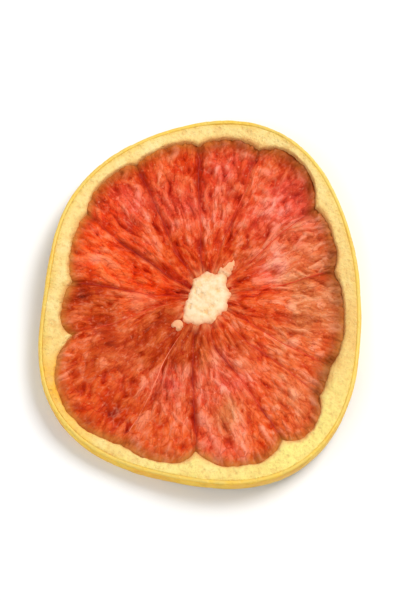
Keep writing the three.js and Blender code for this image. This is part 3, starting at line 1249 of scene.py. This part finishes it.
@dataclass(frozen=True)
class Flesh:
    """The segments of flesh, each a closed pillow between two skins.

    Neighbours meet on the skin's line at the same height, so that the flesh is whole but
    for the creases that have opened over the skins.
    """

    form: SliceForm
    half: float = 1.15
    sac_level: float = 0.5
    lowest: float = 0.5
    step: float = 0.19
    step_length: float = 27.0
    step_radius: float = 31.0
    row_step: float = 1.75
    bunching: float = 0.35
    wall_steps: int = 4
    wall_width: float = 0.15
    overlap: float = 0.08
    tip_round: float = 1.2
    tip_under: float = 0.45
    tip_corner: float = 0.5
    tip_radius: float = 8.0
    knob_share: float = 0.4
    end_under: float = 0.05
    end_radius: float = 34.0
    crease_depth: Span = Span(shut=0.08, open=0.68)
    crease_width: Span = Span(shut=0.32, open=0.9)
    rim_width: float = 0.9
    rim_at: float = 32.0
    corner_at: float = 330.0
    corner_width: float = 14.0
    brown_from: float = 1.2
    brown_width: float = 2.0
    fringe_width: float = 1.5
    halo_width: float = 1.3
    pith_fade: float = 4.0
    wrinkle_height: float = 0.07
    streak_height: float = 0.35
    paling: Paling = Paling()
    sway: float = 0.4
    skins_apart: float = 31.0
    uv_radius: float = 28.0
    seed: int = 400
    sway_noise: Noise = Noise(0.8, 6.0, 700)
    opening_noise: Noise = Noise(1.0, 3.5, 720)
    tip_noise: Noise = Noise(0.2, 1.6, 745, 2)
    shrink_noise: Noise = Noise(0.5, 3.0, 760)
    rim_noise: Noise = Noise(1.0, 2.2, 764, 4)
    fold_noise: Noise = Noise(0.28, 6.5, 800)
    stain_noise: Noise = Noise(1.0, 4.0, 820, 4)
    push_noise: Noise = Noise(2.2, 5.5, 840, 2)
    streak_noise: Noise = Noise(1.0, 2.1, 850, 2)
    halo_noise: Noise = Noise(1.1, 1.0, 870, 2)
    cloud_noises: tuple[Noise, Noise] = (Noise(1.0, 5.0, 77), Noise(0.5, 2.6, 87, 2))

    def along_skin(self, number: int, radius: Array) -> Array:
        """Places for noise that belongs to one skin: its radius, and a number of its own."""
        return flat_points(radius, 0.0, self.skins_apart * (number % len(SEGMENTS)))

    def skin_angle(self, number: int, radius: Array) -> Array:
        """Angle of a skin at each radius.

        Args:
            number: Which segment the skin starts.
            radius: Distances from the pith's middle.

        Returns:
            The skin's own line and a gentle sway: a sine and some noise that fade at
            both ends.
        """
        index = number % len(SEGMENTS)
        inside = smooth_step(radius, 6.0, 12.0) * smooth_step(radius, 35.0, 29.0)
        noise = self.sway_noise.at(self.along_skin(number, radius))
        swing = 0.6 * np.sin(radius / 3.6 + 1.7 * index**1.3) + noise
        aside = np.degrees(self.sway * swing * inside / radius)
        turned = self.form.skin_turn(index, radius) + aside
        return SEGMENTS[index].start + TURN * (number // len(SEGMENTS)) + turned

    def wedge(self, number: int) -> Wedge:
        """Gives the function from a radius and a share of the way across to an angle."""

        def angle(radius: Array, part: Array | float) -> Array:
            """The angle between the segment's two skins at the given share."""
            low = self.skin_angle(number, radius)
            return low + (self.skin_angle(number + 1, radius) - low) * part

        return angle

    def openness(self, number: int, radius: Array) -> Array:
        """How far the crease over a skin has opened at each radius.

        Args:
            number: Which segment the skin starts.
            radius: Distances from the pith's middle.

        Returns:
            Numbers from 0 to 1: the segment's own run, opened and shut by noise.
        """
        stations = np.array(SEGMENTS[number % len(SEGMENTS)].opening)
        plain = np.interp(radius, stations[:, 0], stations[:, 1])
        noise = self.opening_noise.at(self.along_skin(number, radius))
        return np.clip(plain * (1.0 + 0.6 * noise) + 0.08 * noise, 0.0, 1.1)

    def crease_and_shade(self, number: int, radius: Array, away: Array) -> tuple[Array, Array]:
        """The crease over a skin, and the painted shade in it.

        Args:
            number: Which segment the skin starts.
            radius: Distances from the pith's middle.
            away: Distances from the skin.

        Returns:
            How far the face drops, which falls off with a power of the distance, and how
            much painted shade lies in it, which falls off as a bell curve.
        """
        openness = self.openness(number, radius)
        width = self.crease_width.at(openness)
        drop = self.crease_depth.at(openness) * np.exp(-((np.abs(away) / width) ** 1.4))
        gap_shade = smooth_step(openness, 0.1, 0.85) * bell(away, 0.95 * width)
        return drop, gap_shade

    def end_crease(self, line: Array, away: Array) -> tuple[Array, Array, Array]:
        """The crease between a segment's end and the peel, and the colours along it.

        Args:
            line: Angles at the peel, for each of the distances.
            away: Distances from the flesh's edge.

        Returns:
            How far the face drops, how brown the flesh is there, and how much
            straw-coloured fringe of the peel lies on it. The brown is dried flesh with the
            painted shadow of the peel's wall in it. It has shrunk and browned most at the
            right and in the lower right corner, and has more fringe on the other side.
            Noise makes all of them uneven.
        """
        side = 0.5 + 0.5 * np.cos(np.radians(line - self.rim_at))
        corner = bell(shortest_way(line, self.corner_at), self.corner_width)
        along = self.shrink_noise.at(flat_points(self.end_radius, line))
        shrunk = np.clip(0.25 + 0.75 * side + along, 0.1, 1.1)
        inside = np.maximum(away, 0.0)
        drop = (0.05 + 0.4 * shrunk) * bell(inside, self.rim_width)
        uneven = self.rim_noise.at(flat_points(self.end_radius - away, line))
        further = np.maximum(away - self.brown_from, 0.0)
        # Dried brown and painted shadow of the peel's wall, strongest on the side where rim_at
        # points.
        browned_and_shadow = 0.2 + 0.5 * side**2 + 0.3 * corner + 0.42 * uneven
        browned_and_shadow = browned_and_shadow * bell(further, self.brown_width)
        fringe = (0.65 - 0.4 * side - 0.5 * uneven) * bell(inside, self.fringe_width)
        return drop, np.clip(browned_and_shadow, 0.0, 0.85), np.clip(fringe, 0.0, 0.8)

    def folds(self, flat: Array, face: Face) -> Array:
        """Slow folds of one face, the same for all the segments: layered noise."""
        return self.fold_noise.at(flat, face.value)

    def skin_height(self, number: int, radius: Array, face: Face) -> Array:
        """Half height of the flesh on the line of a skin."""
        drop, _ = self.crease_and_shade(number, radius, np.zeros_like(radius))
        folds = self.folds(flat_points(radius, self.skin_angle(number, radius)), face)
        return np.maximum(self.half + self.sac_level + folds - drop, self.lowest)

    def segment(self, number: int) -> Surface:
        """Works out one segment.

        Args:
            number: Which segment.

        Returns:
            A pillow over the wedge between two skins. Columns run across the wedge, and
            closer together near the skins, and rows outwards. Its half height is a plain
            half, a low swelling that is a sine both ways, folds and the sacs, less the
            creases, all times the rounding of the four edges. The sacs' unevenness fades
            out at the skins.
        """
        form = self.form
        segment = SEGMENTS[number]
        wedge = self.wedge(number)
        width = (SEGMENTS[(number + 1) % len(SEGMENTS)].start - segment.start) % TURN
        breadth = math.radians(width) * self.step_radius
        outward = EdgedRun(self.wall_steps + 2, round(self.step_length / self.step))
        across = EdgedRun(self.wall_steps, round(breadth / self.step))
        middle = np.array(segment.start + width / 2)
        inner = float(form.pith(middle))
        outer = float(form.flesh(middle))
        share, rise = outward.places(outer - inner, self.tip_round, self.wall_width)
        rise = rise[:, None]
        arc = arc_length(wedge, inner + (outer - inner) * share)
        wall = np.minimum(self.wall_width, 0.2 * arc)
        even, climb = across.places(arc, wall, wall)
        part = even - self.bunching * np.sin(2.0 * np.pi * even) / (2.0 * np.pi)
        part = part + (2.0 * part - 1.0) * self.overlap / arc[:, None]
        line = segment.start + width * part
        tip_angle = wedge(np.full_like(part, inner + 1.0), part)
        corner = self.tip_corner * np.abs(2.0 * part - 1.0) ** 3
        ragged = self.tip_noise.at(flat_points(self.tip_radius, tip_angle))
        tip = form.pith(tip_angle, self.knob_share) - self.tip_under + corner + ragged
        end = form.flesh(line) + self.end_under
        radius = tip + (end - tip) * share[:, None]
        angle = wedge(radius, part)
        flat = flat_points(radius, angle)
        reach = arc_length(wedge, radius)
        near = part * reach
        far = (1.0 - part) * reach
        to_end = end - self.end_under - radius
        # Drops of the creases over the two skins, and the painted shade in them.
        near_drop, near_shade = self.crease_and_shade(number, radius, near)
        far_drop, far_shade = self.crease_and_shade(number + 1, radius, far)
        end_drop, browned_and_shadow, fringe = self.end_crease(line, to_end)
        drop = np.maximum(near_drop, far_drop) + end_drop
        to_skin = np.minimum(np.abs(near), np.abs(far))
        fade = smooth_step(np.minimum(to_skin, to_end + 0.3), 0.0, 0.8)
        swell = segment.puff * np.sin(np.pi * np.clip(part, 0.0, 1.0))
        swell = swell * np.sin(np.pi * share)[:, None]
        sheets = []
        values = []
        rows = np.arange(inner - 1.0, outer + 3.0, self.row_step)
        for order, face in enumerate(Face):
            relief = Sacs.scatter(wedge, rows, self.seed + 2 * number + order).relief(flat)
            streaks = self.streaks(radius, angle, face)
            folds = self.folds(flat, face)
            uneven = relief.height - self.sac_level + self.wrinkle_height * relief.wrinkle
            uneven = uneven + self.streak_height * streaks
            height = self.half + self.sac_level + swell + folds + uneven * fade - drop
            height = face.value * np.maximum(height, self.lowest) * (climb * rise)
            sheets.append(form.place(radius, angle, height))
            lift = self.paling.folds * folds + self.paling.streaks * streaks
            # Painted shade where sacs meet and down the rounded walls of the pillow.
            sunk = 0.4 * relief.crease_and_shade * fade + 0.6 * smooth_step(rise, 0.95, 0.3)
            values.append({
                "tone": self.tone(flat, radius, relief, segment.depth, lift),
                "crease_and_shade": np.clip(np.maximum(np.maximum(near_shade, far_shade), sunk), 0.0, 1.0),
                # rim: dried brown and painted shadow along the peel.
                "rim": browned_and_shadow,
                "fringe": fringe,
                "halo": self.halo(radius, angle, face),
                **self.stains(flat, face),
            })
        plan = stacked(np.radians(line) * self.uv_radius, radius) * MM
        return Surface(
            points=pillow_order(*sheets),
            quads=pillow_quads(*radius.shape)[:, ::-1],
            values={key: pillow_order(*(one[key] for one in values)) for key in values[0]},
            uv=pillow_order(plan, plan),
        )

    def streaks(self, radius: Array, angle: Array, face: Face) -> Array:
        """Bands that point at the pith, from -1 to 1.

        Args:
            radius: Distances from the pith's middle.
            angle: Angles about it.
            face: Which face.

        Returns:
            Layered noise over the angle and a squeezed radius, pushed about by slower
            noise, so that a band is some 5 degrees wide and four times as long.
        """
        push = self.push_noise.at(flat_points(radius, angle), face.value)
        around = np.radians(angle) * 22.0 + push
        places = stacked(around, 0.27 * radius + 0.5 * push, 9.0 * face.value)
        return self.streak_noise.at(places)

    def halo(self, radius: Array, angle: Array, face: Face) -> Array:
        """Share of the peach stain round the pith.

        Args:
            radius: Distances from the pith's middle.
            angle: Angles about it.
            face: Which face.

        Returns:
            A bell curve over the distance from the pith, split into fibres by noise.
        """
        places = stacked(angle / 7.0, radius / 4.0, 9.0 * face.value)
        fibres = 0.45 + self.halo_noise.at(places)
        away = radius - self.form.pith(angle, self.knob_share)
        return np.clip(fibres * bell(away, self.halo_width), 0.0, 0.7)

    def tone(self, flat: Array, radius: Array, relief: SacRelief, depth: float,
             lift: Array) -> Array:
        """How pale the flesh is, from 0 for deep red to 1 for peach.

        Args:
            flat: Flat places in millimetres.
            radius: Distances from the pith's middle.
            relief: What the sacs give there.
            depth: How deep the segment's red is.
            lift: How much paler folds and streaks make it.

        Returns:
            A middle tone, paler by the sac's tint, on its walls and in pale patches,
            paler up on the sacs and deeper low between them, as painted highlight and shade
            with some juice gathered low down, and deeper by the segment's depth and close to
            the pith.
        """
        cloud = sum(noise.at(flat) for noise in self.cloud_noises)
        near = np.exp(-(radius - 6.0) / self.pith_fade)
        patches = sum(patch.value(flat) for patch in PATCHES[None])
        pale = self.paling
        plain = pale.middle + pale.depth * depth + pale.cloud * cloud + pale.pith * near
        plain = plain + patches + lift + pale.tint * (relief.tint - 0.5)
        # Painted highlight up on the sacs and wrinkles, painted shade low down, with some juice
        # gathered there.
        relief_light_and_shade = pale.height * (relief.height - self.sac_level) + pale.wrinkle * relief.wrinkle
        return plain + relief_light_and_shade + pale.wall * relief.wall

    def stains(self, flat: Array, face: Face) -> dict[str, Array]:
        """Strength of each kind of stain.

        Args:
            flat: Flat places in millimetres.
            face: Which face, for other edges on each.

        Returns:
            Numbers from 0 to 1 by the stain's name: its patches, with edges made ragged
            by layered noise, and a little of it in clouds of its own.
        """
        found = {}
        for number, stain in enumerate(Stain):
            ragged = self.stain_noise.at(flat, 10 * number + face.value)
            patches = sum(patch.value(flat) for patch in PATCHES[stain])
            clouds = 0.3 * smooth_step(ragged, 0.15, 0.7)
            found[stain.value] = np.clip(patches * (1.0 + 0.9 * ragged) + clouds, 0.0, 0.9)
        return found

    def build(self, material: Material) -> list[Piece]:
        """Makes the piece of every segment."""
        return [self.segment(number).to_object(f"segment_{number + 1:02d}", material)
                for number in range(len(SEGMENTS))]


@dataclass(frozen=True)
class Skins:
    """The thin skins between the segments, from the pith to the peel."""

    form: SliceForm
    flesh: Flesh
    steps: int = 240
    sides: int = 20
    inside: float = 0.5
    half_width: float = 0.17
    proud: Span = Span(shut=0.05, open=0.12)
    bluntness: float = 0.6
    # Tone of a skin down in an open crease: painted shade.
    sunk_shade_tone: float = 0.04
    start_radius: float = 7.0
    wave: Noise = Noise(1.0, 2.2, 900)
    width_noise: Noise = Noise(0.5, 1.7, 940, 2)

    def skin(self, number: int) -> Shell:
        """Works out one skin.

        Args:
            number: Which segment it starts.

        Returns:
            Its points, its faces and its tone. A tall thin oval is carried from inside
            the pith into the peel. Its edges stand a little proud of the flesh beside it,
            also down in a crease, where its tone is deepened into painted shade. It wavers,
            and closes at the ends.
        """
        form = self.form
        flesh = self.flesh
        segment = SEGMENTS[number]
        start_angle = flesh.skin_angle(number, np.array(self.start_radius))
        start = float(form.pith(start_angle)) - self.inside
        end = float(form.flesh(np.array(float(segment.start)))) + self.inside
        way = (1.0 - np.cos(np.linspace(0.0, np.pi, self.steps))) / 2
        radius = start + (end - start) * way
        openness = flesh.openness(number, radius)
        line = flesh.along_skin(number, radius)
        wave = self.wave.at(line, number)
        close = np.sqrt(np.clip(1.0 - (2.0 * way - 1.0) ** 8, 0.0, 1.0))
        proud = self.proud.at(openness) + 0.06 * wave
        upper, under = (((flesh.skin_height(number, radius, face) + proud) * close)[:, None]
                        for face in Face)
        half_width = self.half_width * (1.0 + self.width_noise.at(line, number)) * close
        turn = np.radians(even_turn(self.sides))
        offset = half_width[:, None] * signed_power(np.cos(turn), self.bluntness)
        tall = np.where(np.sin(turn) > 0.0, upper, under)
        height = tall * signed_power(np.sin(turn), self.bluntness)
        away = np.degrees(offset / radius[:, None])
        angle = flesh.skin_angle(number, radius)[:, None] + away
        points = form.place(radius[:, None], angle, height)
        level_tone = segment.skin.value
        # Painted shade: the tone deepens as the crease over the skin opens.
        tone = level_tone + (self.sunk_shade_tone - level_tone) * smooth_step(openness, 0.15, 0.7)
        tone = np.broadcast_to((tone + 0.15 * wave)[:, None], angle.shape)
        return points.reshape(-1, 3), pole_quads(self.steps, self.sides), {"tone": tone.ravel()}

    def build(self, material: Material) -> Piece:
        """Makes one piece of all the skins."""
        shells = [self.skin(number) for number in range(len(SEGMENTS))]
        return joined_object("skins", shells, material)


def joined_object(name: str, parts: list[Shell], material: Material) -> Piece:
    """Makes one object of several closed shells.

    Args:
        name: Name of the piece.
        parts: The points, faces and named values of each shell.
        material: The piece's finish.

    Returns:
        The object, with each shell's faces counted on from the points before them.
    """
    starts = np.cumsum([0] + [len(part[0]) for part in parts[:-1]])
    points = np.concatenate([part[0] for part in parts])
    faces = np.concatenate([part[1] + start for part, start in zip(parts, starts)])
    values = {key: np.concatenate([part[2][key] for part in parts]) for key in parts[0][2]}
    return closed_object(name, points, faces, values, material)


def closed_object(name: str, points: Array, quads: Array, values: dict[str, Array],
                  material: Material) -> Piece:
    """Makes an object from faces of which some have a side of no length.

    Args:
        name: Name of the piece.
        points: Its points in metres.
        quads: Its faces. One that names a point twice in a row becomes a triangle.
        values: Named values at the points.
        material: Its finish.

    Returns:
        The object. Points that no face uses are left out.
    """
    same = quads == np.roll(quads, -1, axis=1)
    whole = quads[~same.any(axis=1)]
    short = quads[same.sum(axis=1) == 1]
    mask = ~(short == np.roll(short, -1, axis=1))
    triangles = short[mask].reshape(-1, 3)
    used = np.unique(np.concatenate([whole.ravel(), triangles.ravel()]))
    lookup = np.zeros(len(points), int)
    lookup[used] = np.arange(len(used))
    kept = {key: value[used] for key, value in values.items()}
    surface = Surface(points[used], lookup[whole], kept, triangles=lookup[triangles])
    return surface.to_object(name, material)


@dataclass(frozen=True)
class Disc:
    """A closed disc on a polar grid: out over the under face and back over the upper one."""

    columns: int
    rows: int
    wall_steps: int

    def rows_out(self, edge_round: float, size: float) -> tuple[Array, Array, Array]:
        """Places of the rows from the under pole to the upper pole.

        Args:
            edge_round: Width of the rounded edge.
            size: Radius of the disc, to scale the rounding.

        Returns:
            The share of the radius, the side, -1 or 1, and the share of the height, below
            0 on the under side, each as one column.
        """
        turn = np.linspace(0.0, np.pi / 2, self.wall_steps + 1)
        flat = np.linspace(0.0, 1.0 - edge_round / size, self.rows, endpoint=False)
        wall = 1.0 - edge_round / size * (1.0 - np.cos(turn[::-1]))
        share = np.concatenate([flat, wall])
        height = np.concatenate([np.ones(self.rows), np.sin(turn[::-1])])
        side = np.ones_like(share)
        pairs = ((share, share), (-side, side), (-height, height))
        share, side, level = (np.append(under, upper[-2::-1])[:, None] for under, upper in pairs)
        return share, side, level

    def angles(self) -> Array:
        """Angle of each column."""
        return even_turn(self.columns)

    def quads(self) -> Array:
        """Faces of the grid, with each pole made one point."""
        return pole_quads(2 * (self.rows + self.wall_steps) + 1, self.columns)


@dataclass(frozen=True)
class Crumb:
    """A small lump of pith beside the pith itself: its place, radius and half height."""

    at: float
    out: float
    size: float
    half: float


@dataclass(frozen=True)
class Pith:
    """The spongy pith: a ragged, pitted cushion with two small lumps beside it."""

    form: SliceForm
    half: float = 2.2
    reach: float = 0.45
    knob_share: float = 0.5
    fall: float = 0.85
    disc: Disc = Disc(columns=240, rows=34, wall_steps=8)
    crumbs: tuple[Crumb, ...] = (
        Crumb(55, 7.2, 1.9, 2.15),
        Crumb(55, 8.8, 2.0, 2.3),
        Crumb(226, 9.0, 1.8, 2.3),
    )
    crumb_disc: Disc = Disc(columns=90, rows=14, wall_steps=6)
    edge_radius: float = 8.0
    edge_round: float = 0.9
    edge_share: float = 0.45
    seed: int = 51
    sponge: Noise = Noise(1.0, 1.2, 0, 4)
    slow: Noise = Noise(0.26, 3.0, 10, 2)
    edge_noises: tuple[Noise, Noise] = (Noise(0.4, 1.5, 31), Noise(0.3, 4.0, 35, 2))
    crumb_noise: Noise = Noise(0.35, 1.3, 37)

    def lump(self, disc: Disc, middle: tuple[float, float], outer: Array, edge_round: float,
             half: float, seed: int) -> Shell:
        """Works out one ragged, pitted cushion.

        Args:
            disc: Its grid.
            middle: Its middle in x and y, in millimetres from the pith's middle.
            outer: Its radius at each column.
            edge_round: Width of its rounded edge.
            half: Its plain half height.
            seed: Picks its unevenness.

        Returns:
            Its points, its faces and its values: the depth of the pits, which lie where
            layered noise is low, and how much it blushes, which is towards its edge and
            all over beyond the pith's own edge. It falls off to its edge by the cube of
            the share of the way out, so that it sinks into the flesh.
        """
        share, side, level = disc.rows_out(edge_round, float(outer.mean()))
        turn = np.radians(disc.angles())
        across = middle[0] + share * outer * np.cos(turn)
        along = middle[1] + share * outer * np.sin(turn)
        radius = np.hypot(across, along)
        angle = np.degrees(np.arctan2(along, across))
        flat = flat_points(radius, angle, 4.0 * side)
        sponge = self.sponge.at(flat, seed)
        pit = smooth_step(sponge, -0.05, -0.5)
        slow = self.slow.at(flat, seed)
        shape = half - self.fall * share**3 + slow + 0.22 * sponge - 0.32 * pit
        points = self.form.place(radius, angle, shape * level)
        beyond = smooth_step(radius - self.form.pith(angle, 0.0), 0.3, 2.2)
        blush = np.minimum(beyond + 0.75 * smooth_step(share, 0.66, 0.98), 1.0)
        return points.reshape(-1, 3), disc.quads(), {"pit": pit.ravel(), "blush": blush.ravel()}

    def build(self, material: Material) -> Piece:
        """Makes the piece. The cushion goes only part of the way out to each lump."""
        angle = self.disc.angles()
        edge = flat_points(self.edge_radius, angle)
        ragged = sum(noise.at(edge) for noise in self.edge_noises)
        outer = self.form.pith(angle, self.knob_share) + self.reach + ragged
        parts = [self.lump(self.disc, (0.0, 0.0), outer, self.edge_round, self.half, self.seed)]
        around = self.crumb_disc.angles()
        for number, crumb in enumerate(self.crumbs):
            turned = math.radians(crumb.at)
            middle = (crumb.out * math.cos(turned), crumb.out * math.sin(turned))
            ragged = self.crumb_noise.at(flat_points(crumb.size, around, 9.0 * number))
            outer = crumb.size * (1.0 + ragged)
            edge_round = self.edge_share * crumb.size
            seed = self.seed + 4 + number
            parts.append(self.lump(self.crumb_disc, middle, outer, edge_round, crumb.half, seed))
        return joined_object("pith", parts, material)


@dataclass(frozen=True)
class Web:
    """Thin film through the middle of the slice, which closes every gap, darkened as painted shade.
    """

    form: SliceForm
    half: float = 0.25
    edge_round: float = 0.5
    reach: float = 1.0
    disc: Disc = Disc(columns=300, rows=40, wall_steps=3)
    noise: Noise = Noise(0.1, 2.0, 71, 2)

    def build(self, material: Material) -> Piece:
        """Makes the piece: a thin disc out into the peel."""
        share, side, level = self.disc.rows_out(self.edge_round, self.form.rind_radius)
        angle = self.disc.angles()
        radius = share * (self.form.flesh(angle) + self.reach)
        noise = self.noise.at(flat_points(radius, angle, 4.0 * side))
        points = self.form.place(radius, angle, (self.half + noise) * level)
        return closed_object("web", points.reshape(-1, 3), self.disc.quads(), {}, material)


@dataclass(frozen=True)
class WhitePeel:
    """The white of the peel: a ring whose inner wall follows the segments' ends. tints
    gives each tint's share, the angle that it is strongest at, and how far it reaches."""

    form: SliceForm
    columns: int = 960
    run: EdgedRun = EdgedRun(wall_steps=8, face_steps=24)
    inner_round: float = 0.5
    inner_reach: float = 0.5
    outer_under: float = 0.8
    outer_round: float = 0.3
    noise_radius: float = 36.0
    edge_noise: Noise = Noise(0.4, 2.2, 251, 4)
    dents: Noise = Noise(0.24, 4.5, 201)
    puckers: Noise = Noise(0.15, 1.0, 221)
    fine: Noise = Noise(0.09, 1.1, 211, 4)
    tint_noise: Noise = Noise(0.6, 6.0, 241)
    heights: tuple[tuple[float, float], ...] = (
        (0.0, 1.9),
        (0.2, 2.3),
        (0.55, 2.42),
        (0.85, 2.5),
        (1.0, 2.35),
    )
    pucker_size: tuple[float, float] = (1.6, 5.0)
    tints: ClassVar[dict[str, tuple[float, float, float]]] = {
        "lemon": (1.0, 300.0, 50.0),
        "tan": (0.8, 350.0, 30.0),
        # honey: partly painted bounce light.
        "honey_and_bounce": (1.9, 217.0, 13.0),
        "brown": (0.9, 333.0, 15.0),
    }

    def build(self, material: Material) -> Piece:
        """Makes the piece: an upper and an under sheet across the ring, whose half height
        follows the listed heights, with slow dents, puckers and fine unevenness. Its inner
        edge is the flesh's edge, made ragged by noise."""
        angle = even_turn(self.columns)
        turned = angle[:, None]
        flesh = self.form.flesh(angle)
        inner = flesh - self.inner_reach + self.edge_noise.at(flat_points(flesh, angle))
        outer = self.form.rind(angle) - self.outer_under
        share, rise = self.run.places(outer - inner, self.inner_round, self.outer_round)
        radius = inner[:, None] + (outer - inner)[:, None] * share
        plain = np.interp(share, *zip(*self.heights))
        sheets = []
        hollows = []
        for face in Face:
            flat = flat_points(radius, turned, 5.0 * face.value)
            around = np.radians(turned) * self.noise_radius / self.pucker_size[0]
            dents = self.dents.at(flat)
            puckers = self.puckers.at(stacked(around, radius / self.pucker_size[1], flat[..., 2]))
            fine = self.fine.at(flat)
            height = face.value * (plain + dents + puckers + fine) * rise
            sheets.append(self.form.place(radius, turned, height))
            # Painted shade: how far the surface lies below its plain height, kept as low.
            hollows.append(np.clip(-3.0 * (dents + puckers + fine), 0.0, 1.0))
        ring = belt_order(*sheets)
        across = belt_order(share, share)
        named = {"across": across.ravel(), "low": belt_order(*hollows).ravel()}
        for name, (most, at, width) in self.tints.items():
            tint = np.minimum(most * self.toward(angle, at, width), 1.0)
            named[name] = np.broadcast_to(tint[:, None], across.shape).ravel()
        quads = belt_quads(*across.shape)
        return Surface(ring.reshape(-1, 3), quads, named).to_object("white_peel", material)

    def toward(self, angle: Array, at: float, width: float) -> Array:
        """A bell curve round one side, made uneven by noise, from 0 to 1."""
        noise = self.tint_noise.at(flat_points(self.noise_radius, angle))
        return np.clip(bell(shortest_way(angle, at), width) * (1.0 + noise), 0.0, 1.0)


def even_loop(count: int, power: float, half_width: float,
              half_height: float) -> tuple[Array, Array]:
    """Evenly spaced points on a rounded box.

    Args:
        count: Number of points.
        power: Below 1, the smaller the squarer the corners.
        half_width: Half of the box's width.
        half_height: Half of its height.

    Returns:
        The two coordinates. The curve is the cosine and the sine of an angle, each raised
        to the power with its sign kept, and its length is cut evenly.
    """
    turn = np.linspace(0.0, 2.0 * np.pi, 4001)
    across = half_width * signed_power(np.cos(turn), power)
    up = half_height * signed_power(np.sin(turn), power)
    length = np.concatenate([[0.0], np.cumsum(np.hypot(np.diff(across), np.diff(up)))])
    wanted = np.arange(count) * length[-1] / count
    return np.interp(wanted, length, across), np.interp(wanted, length, up)


@dataclass(frozen=True)
class Rind:
    """The thin rind round the outside, a little proud of the white at its cut edges."""

    form: SliceForm
    columns: int = 960
    sides: int = 56
    half_width: float = 0.5
    half_height: float = 2.54
    bulge: float = 0.15
    pit_depth: float = 0.09
    bluntness: float = 0.4
    edge_noise: Noise = Noise(0.05, 4.0, 301)
    pits: Noise = Noise(1.0, 0.9, 311, 2)
    waves: Noise = Noise(0.14, 5.0, 321, 2)
    fine: Noise = Noise(0.06, 1.1, 331, 2)

    def build(self, material: Material) -> Piece:
        """Makes the piece: a tall rounded box carried round the outline. It bulges at
        half height and is pitted and uneven on its outside."""
        angle = even_turn(self.columns)
        turned = angle[:, None]
        across, up = even_loop(self.sides, self.bluntness, self.half_width, self.half_height)
        bulge = self.bulge * (1.0 - (up / self.half_height) ** 2)
        centre = self.form.rind(angle) - self.bulge - self.half_width
        radius = centre[:, None] + across + bulge
        flat = flat_points(radius, turned, up)
        edge = self.edge_noise.at(flat_points(centre, angle))[:, None]
        pits = self.pit_depth * smooth_step(self.pits.at(flat), 0.0, -0.6)
        radius = radius + smooth_step(across, 0.0, self.half_width) * (self.waves.at(flat) - pits)
        height = up * (1.0 + edge) + self.fine.at(flat)
        points = self.form.place(radius, turned, height).reshape(-1, 3)
        quads = belt_quads(*radius.shape)[:, ::-1]
        cut = smooth_step(np.abs(up), self.half_height - 0.3, self.half_height - 0.08)
        values = {"cut": np.broadcast_to(cut, radius.shape).ravel()}
        return Surface(points, quads, values).to_object("rind", material)


# ---------------------------------------------------------------- studio


@dataclass(frozen=True)
class Lamp:
    """A soft light: its place, its width and height, all in metres, and power in watts."""

    name: str
    place: tuple[float, float, float]
    size: float
    power: float


@dataclass(frozen=True)
class Studio:
    """Pale floor, soft lights and the camera at the photograph's angle."""

    elevation: float = 73.0
    distance: float = 0.40
    lens: float = 110.0
    target: tuple[float, float, float] = (0.0, 0.0, 0.003)
    floor_half: float = 1.5
    surroundings: float = 0.4
    lamps: tuple[Lamp, ...] = (
        Lamp("key_light", (0.36, 0.3, 0.6), 0.36, 4.7),
        Lamp("fill_light", (-0.4, -0.3, 0.5), 0.6, 1.8),
    )

    def floor(self) -> None:
        """Makes the floor, a flat sheet under the slice."""
        corners = ((-1, -1, 0), (1, -1, 0), (1, 1, 0), (-1, 1, 0))
        points = self.floor_half * np.array(corners, float)
        surface = Surface(points, np.array([[0, 1, 2, 3]]), {})
        sheet = surface.to_object("floor", FloorFinish().build())

    def lights(self) -> None:
        """Adds the lamps, which look at the slice, and the pale surroundings."""
        for lamp in self.lamps:
            data = bpy.data.lights.new(lamp.name, "AREA")
            data.size = lamp.size
            data.energy = lamp.power
            made = bpy.data.objects.new(lamp.name, data)
            made.location = lamp.place
            ahead = Vector(self.target) - Vector(lamp.place)
            made.rotation_euler = ahead.to_track_quat("-Z", "Y").to_euler()
            bpy.context.scene.collection.objects.link(made)
        world = bpy.data.worlds.new("surroundings")
        world.use_nodes = True
        backdrop = world.node_tree.nodes["Background"]
        backdrop.inputs["Color"].default_value = (1.0, 1.0, 1.0, 1.0)
        backdrop.inputs["Strength"].default_value = self.surroundings
        bpy.context.scene.world = world

    def camera(self) -> None:
        """Adds the camera, which looks down on the slice along +Y."""
        data = bpy.data.cameras.new("camera")
        data.lens = self.lens
        turn = math.radians(self.elevation)
        away = Vector((0.0, -math.cos(turn), math.sin(turn))) * self.distance
        camera = bpy.data.objects.new("camera", data)
        camera.location = Vector(self.target) + away
        camera.rotation_euler = (-away).to_track_quat("-Z", "Y").to_euler()
        bpy.context.scene.collection.objects.link(camera)
        bpy.context.scene.camera = camera

    def build(self) -> None:
        """Sets up the whole studio."""
        self.camera()
        self.lights()
        self.floor()
        bpy.context.scene.view_settings.view_transform = "Standard"


def dress(piece: Piece) -> None:
    """Ties a piece to the part.

    Args:
        piece: The piece.
    """
    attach(piece, BODY)
    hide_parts(NODE)
    LOG.info("%s: %d faces", piece.name, len(piece.data.polygons))


def main() -> None:
    """Builds the studio and every piece in order."""
    logging.basicConfig(level=logging.INFO, format="%(name)s: %(message)s")
    Studio().build()
    form = SliceForm()
    flesh = Flesh(form)
    for piece in flesh.build(FleshFinish().build()):
        dress(piece)
    dress(Skins(form, flesh).build(SkinFinish().build()))
    dress(Web(form).build(WebFinish().build()))
    dress(Pith(form).build(PithFinish().build()))
    dress(WhitePeel(form).build(WhiteFinish().build()))
    dress(Rind(form).build(RindFinish().build()))


if __name__ == "__main__":
    main()
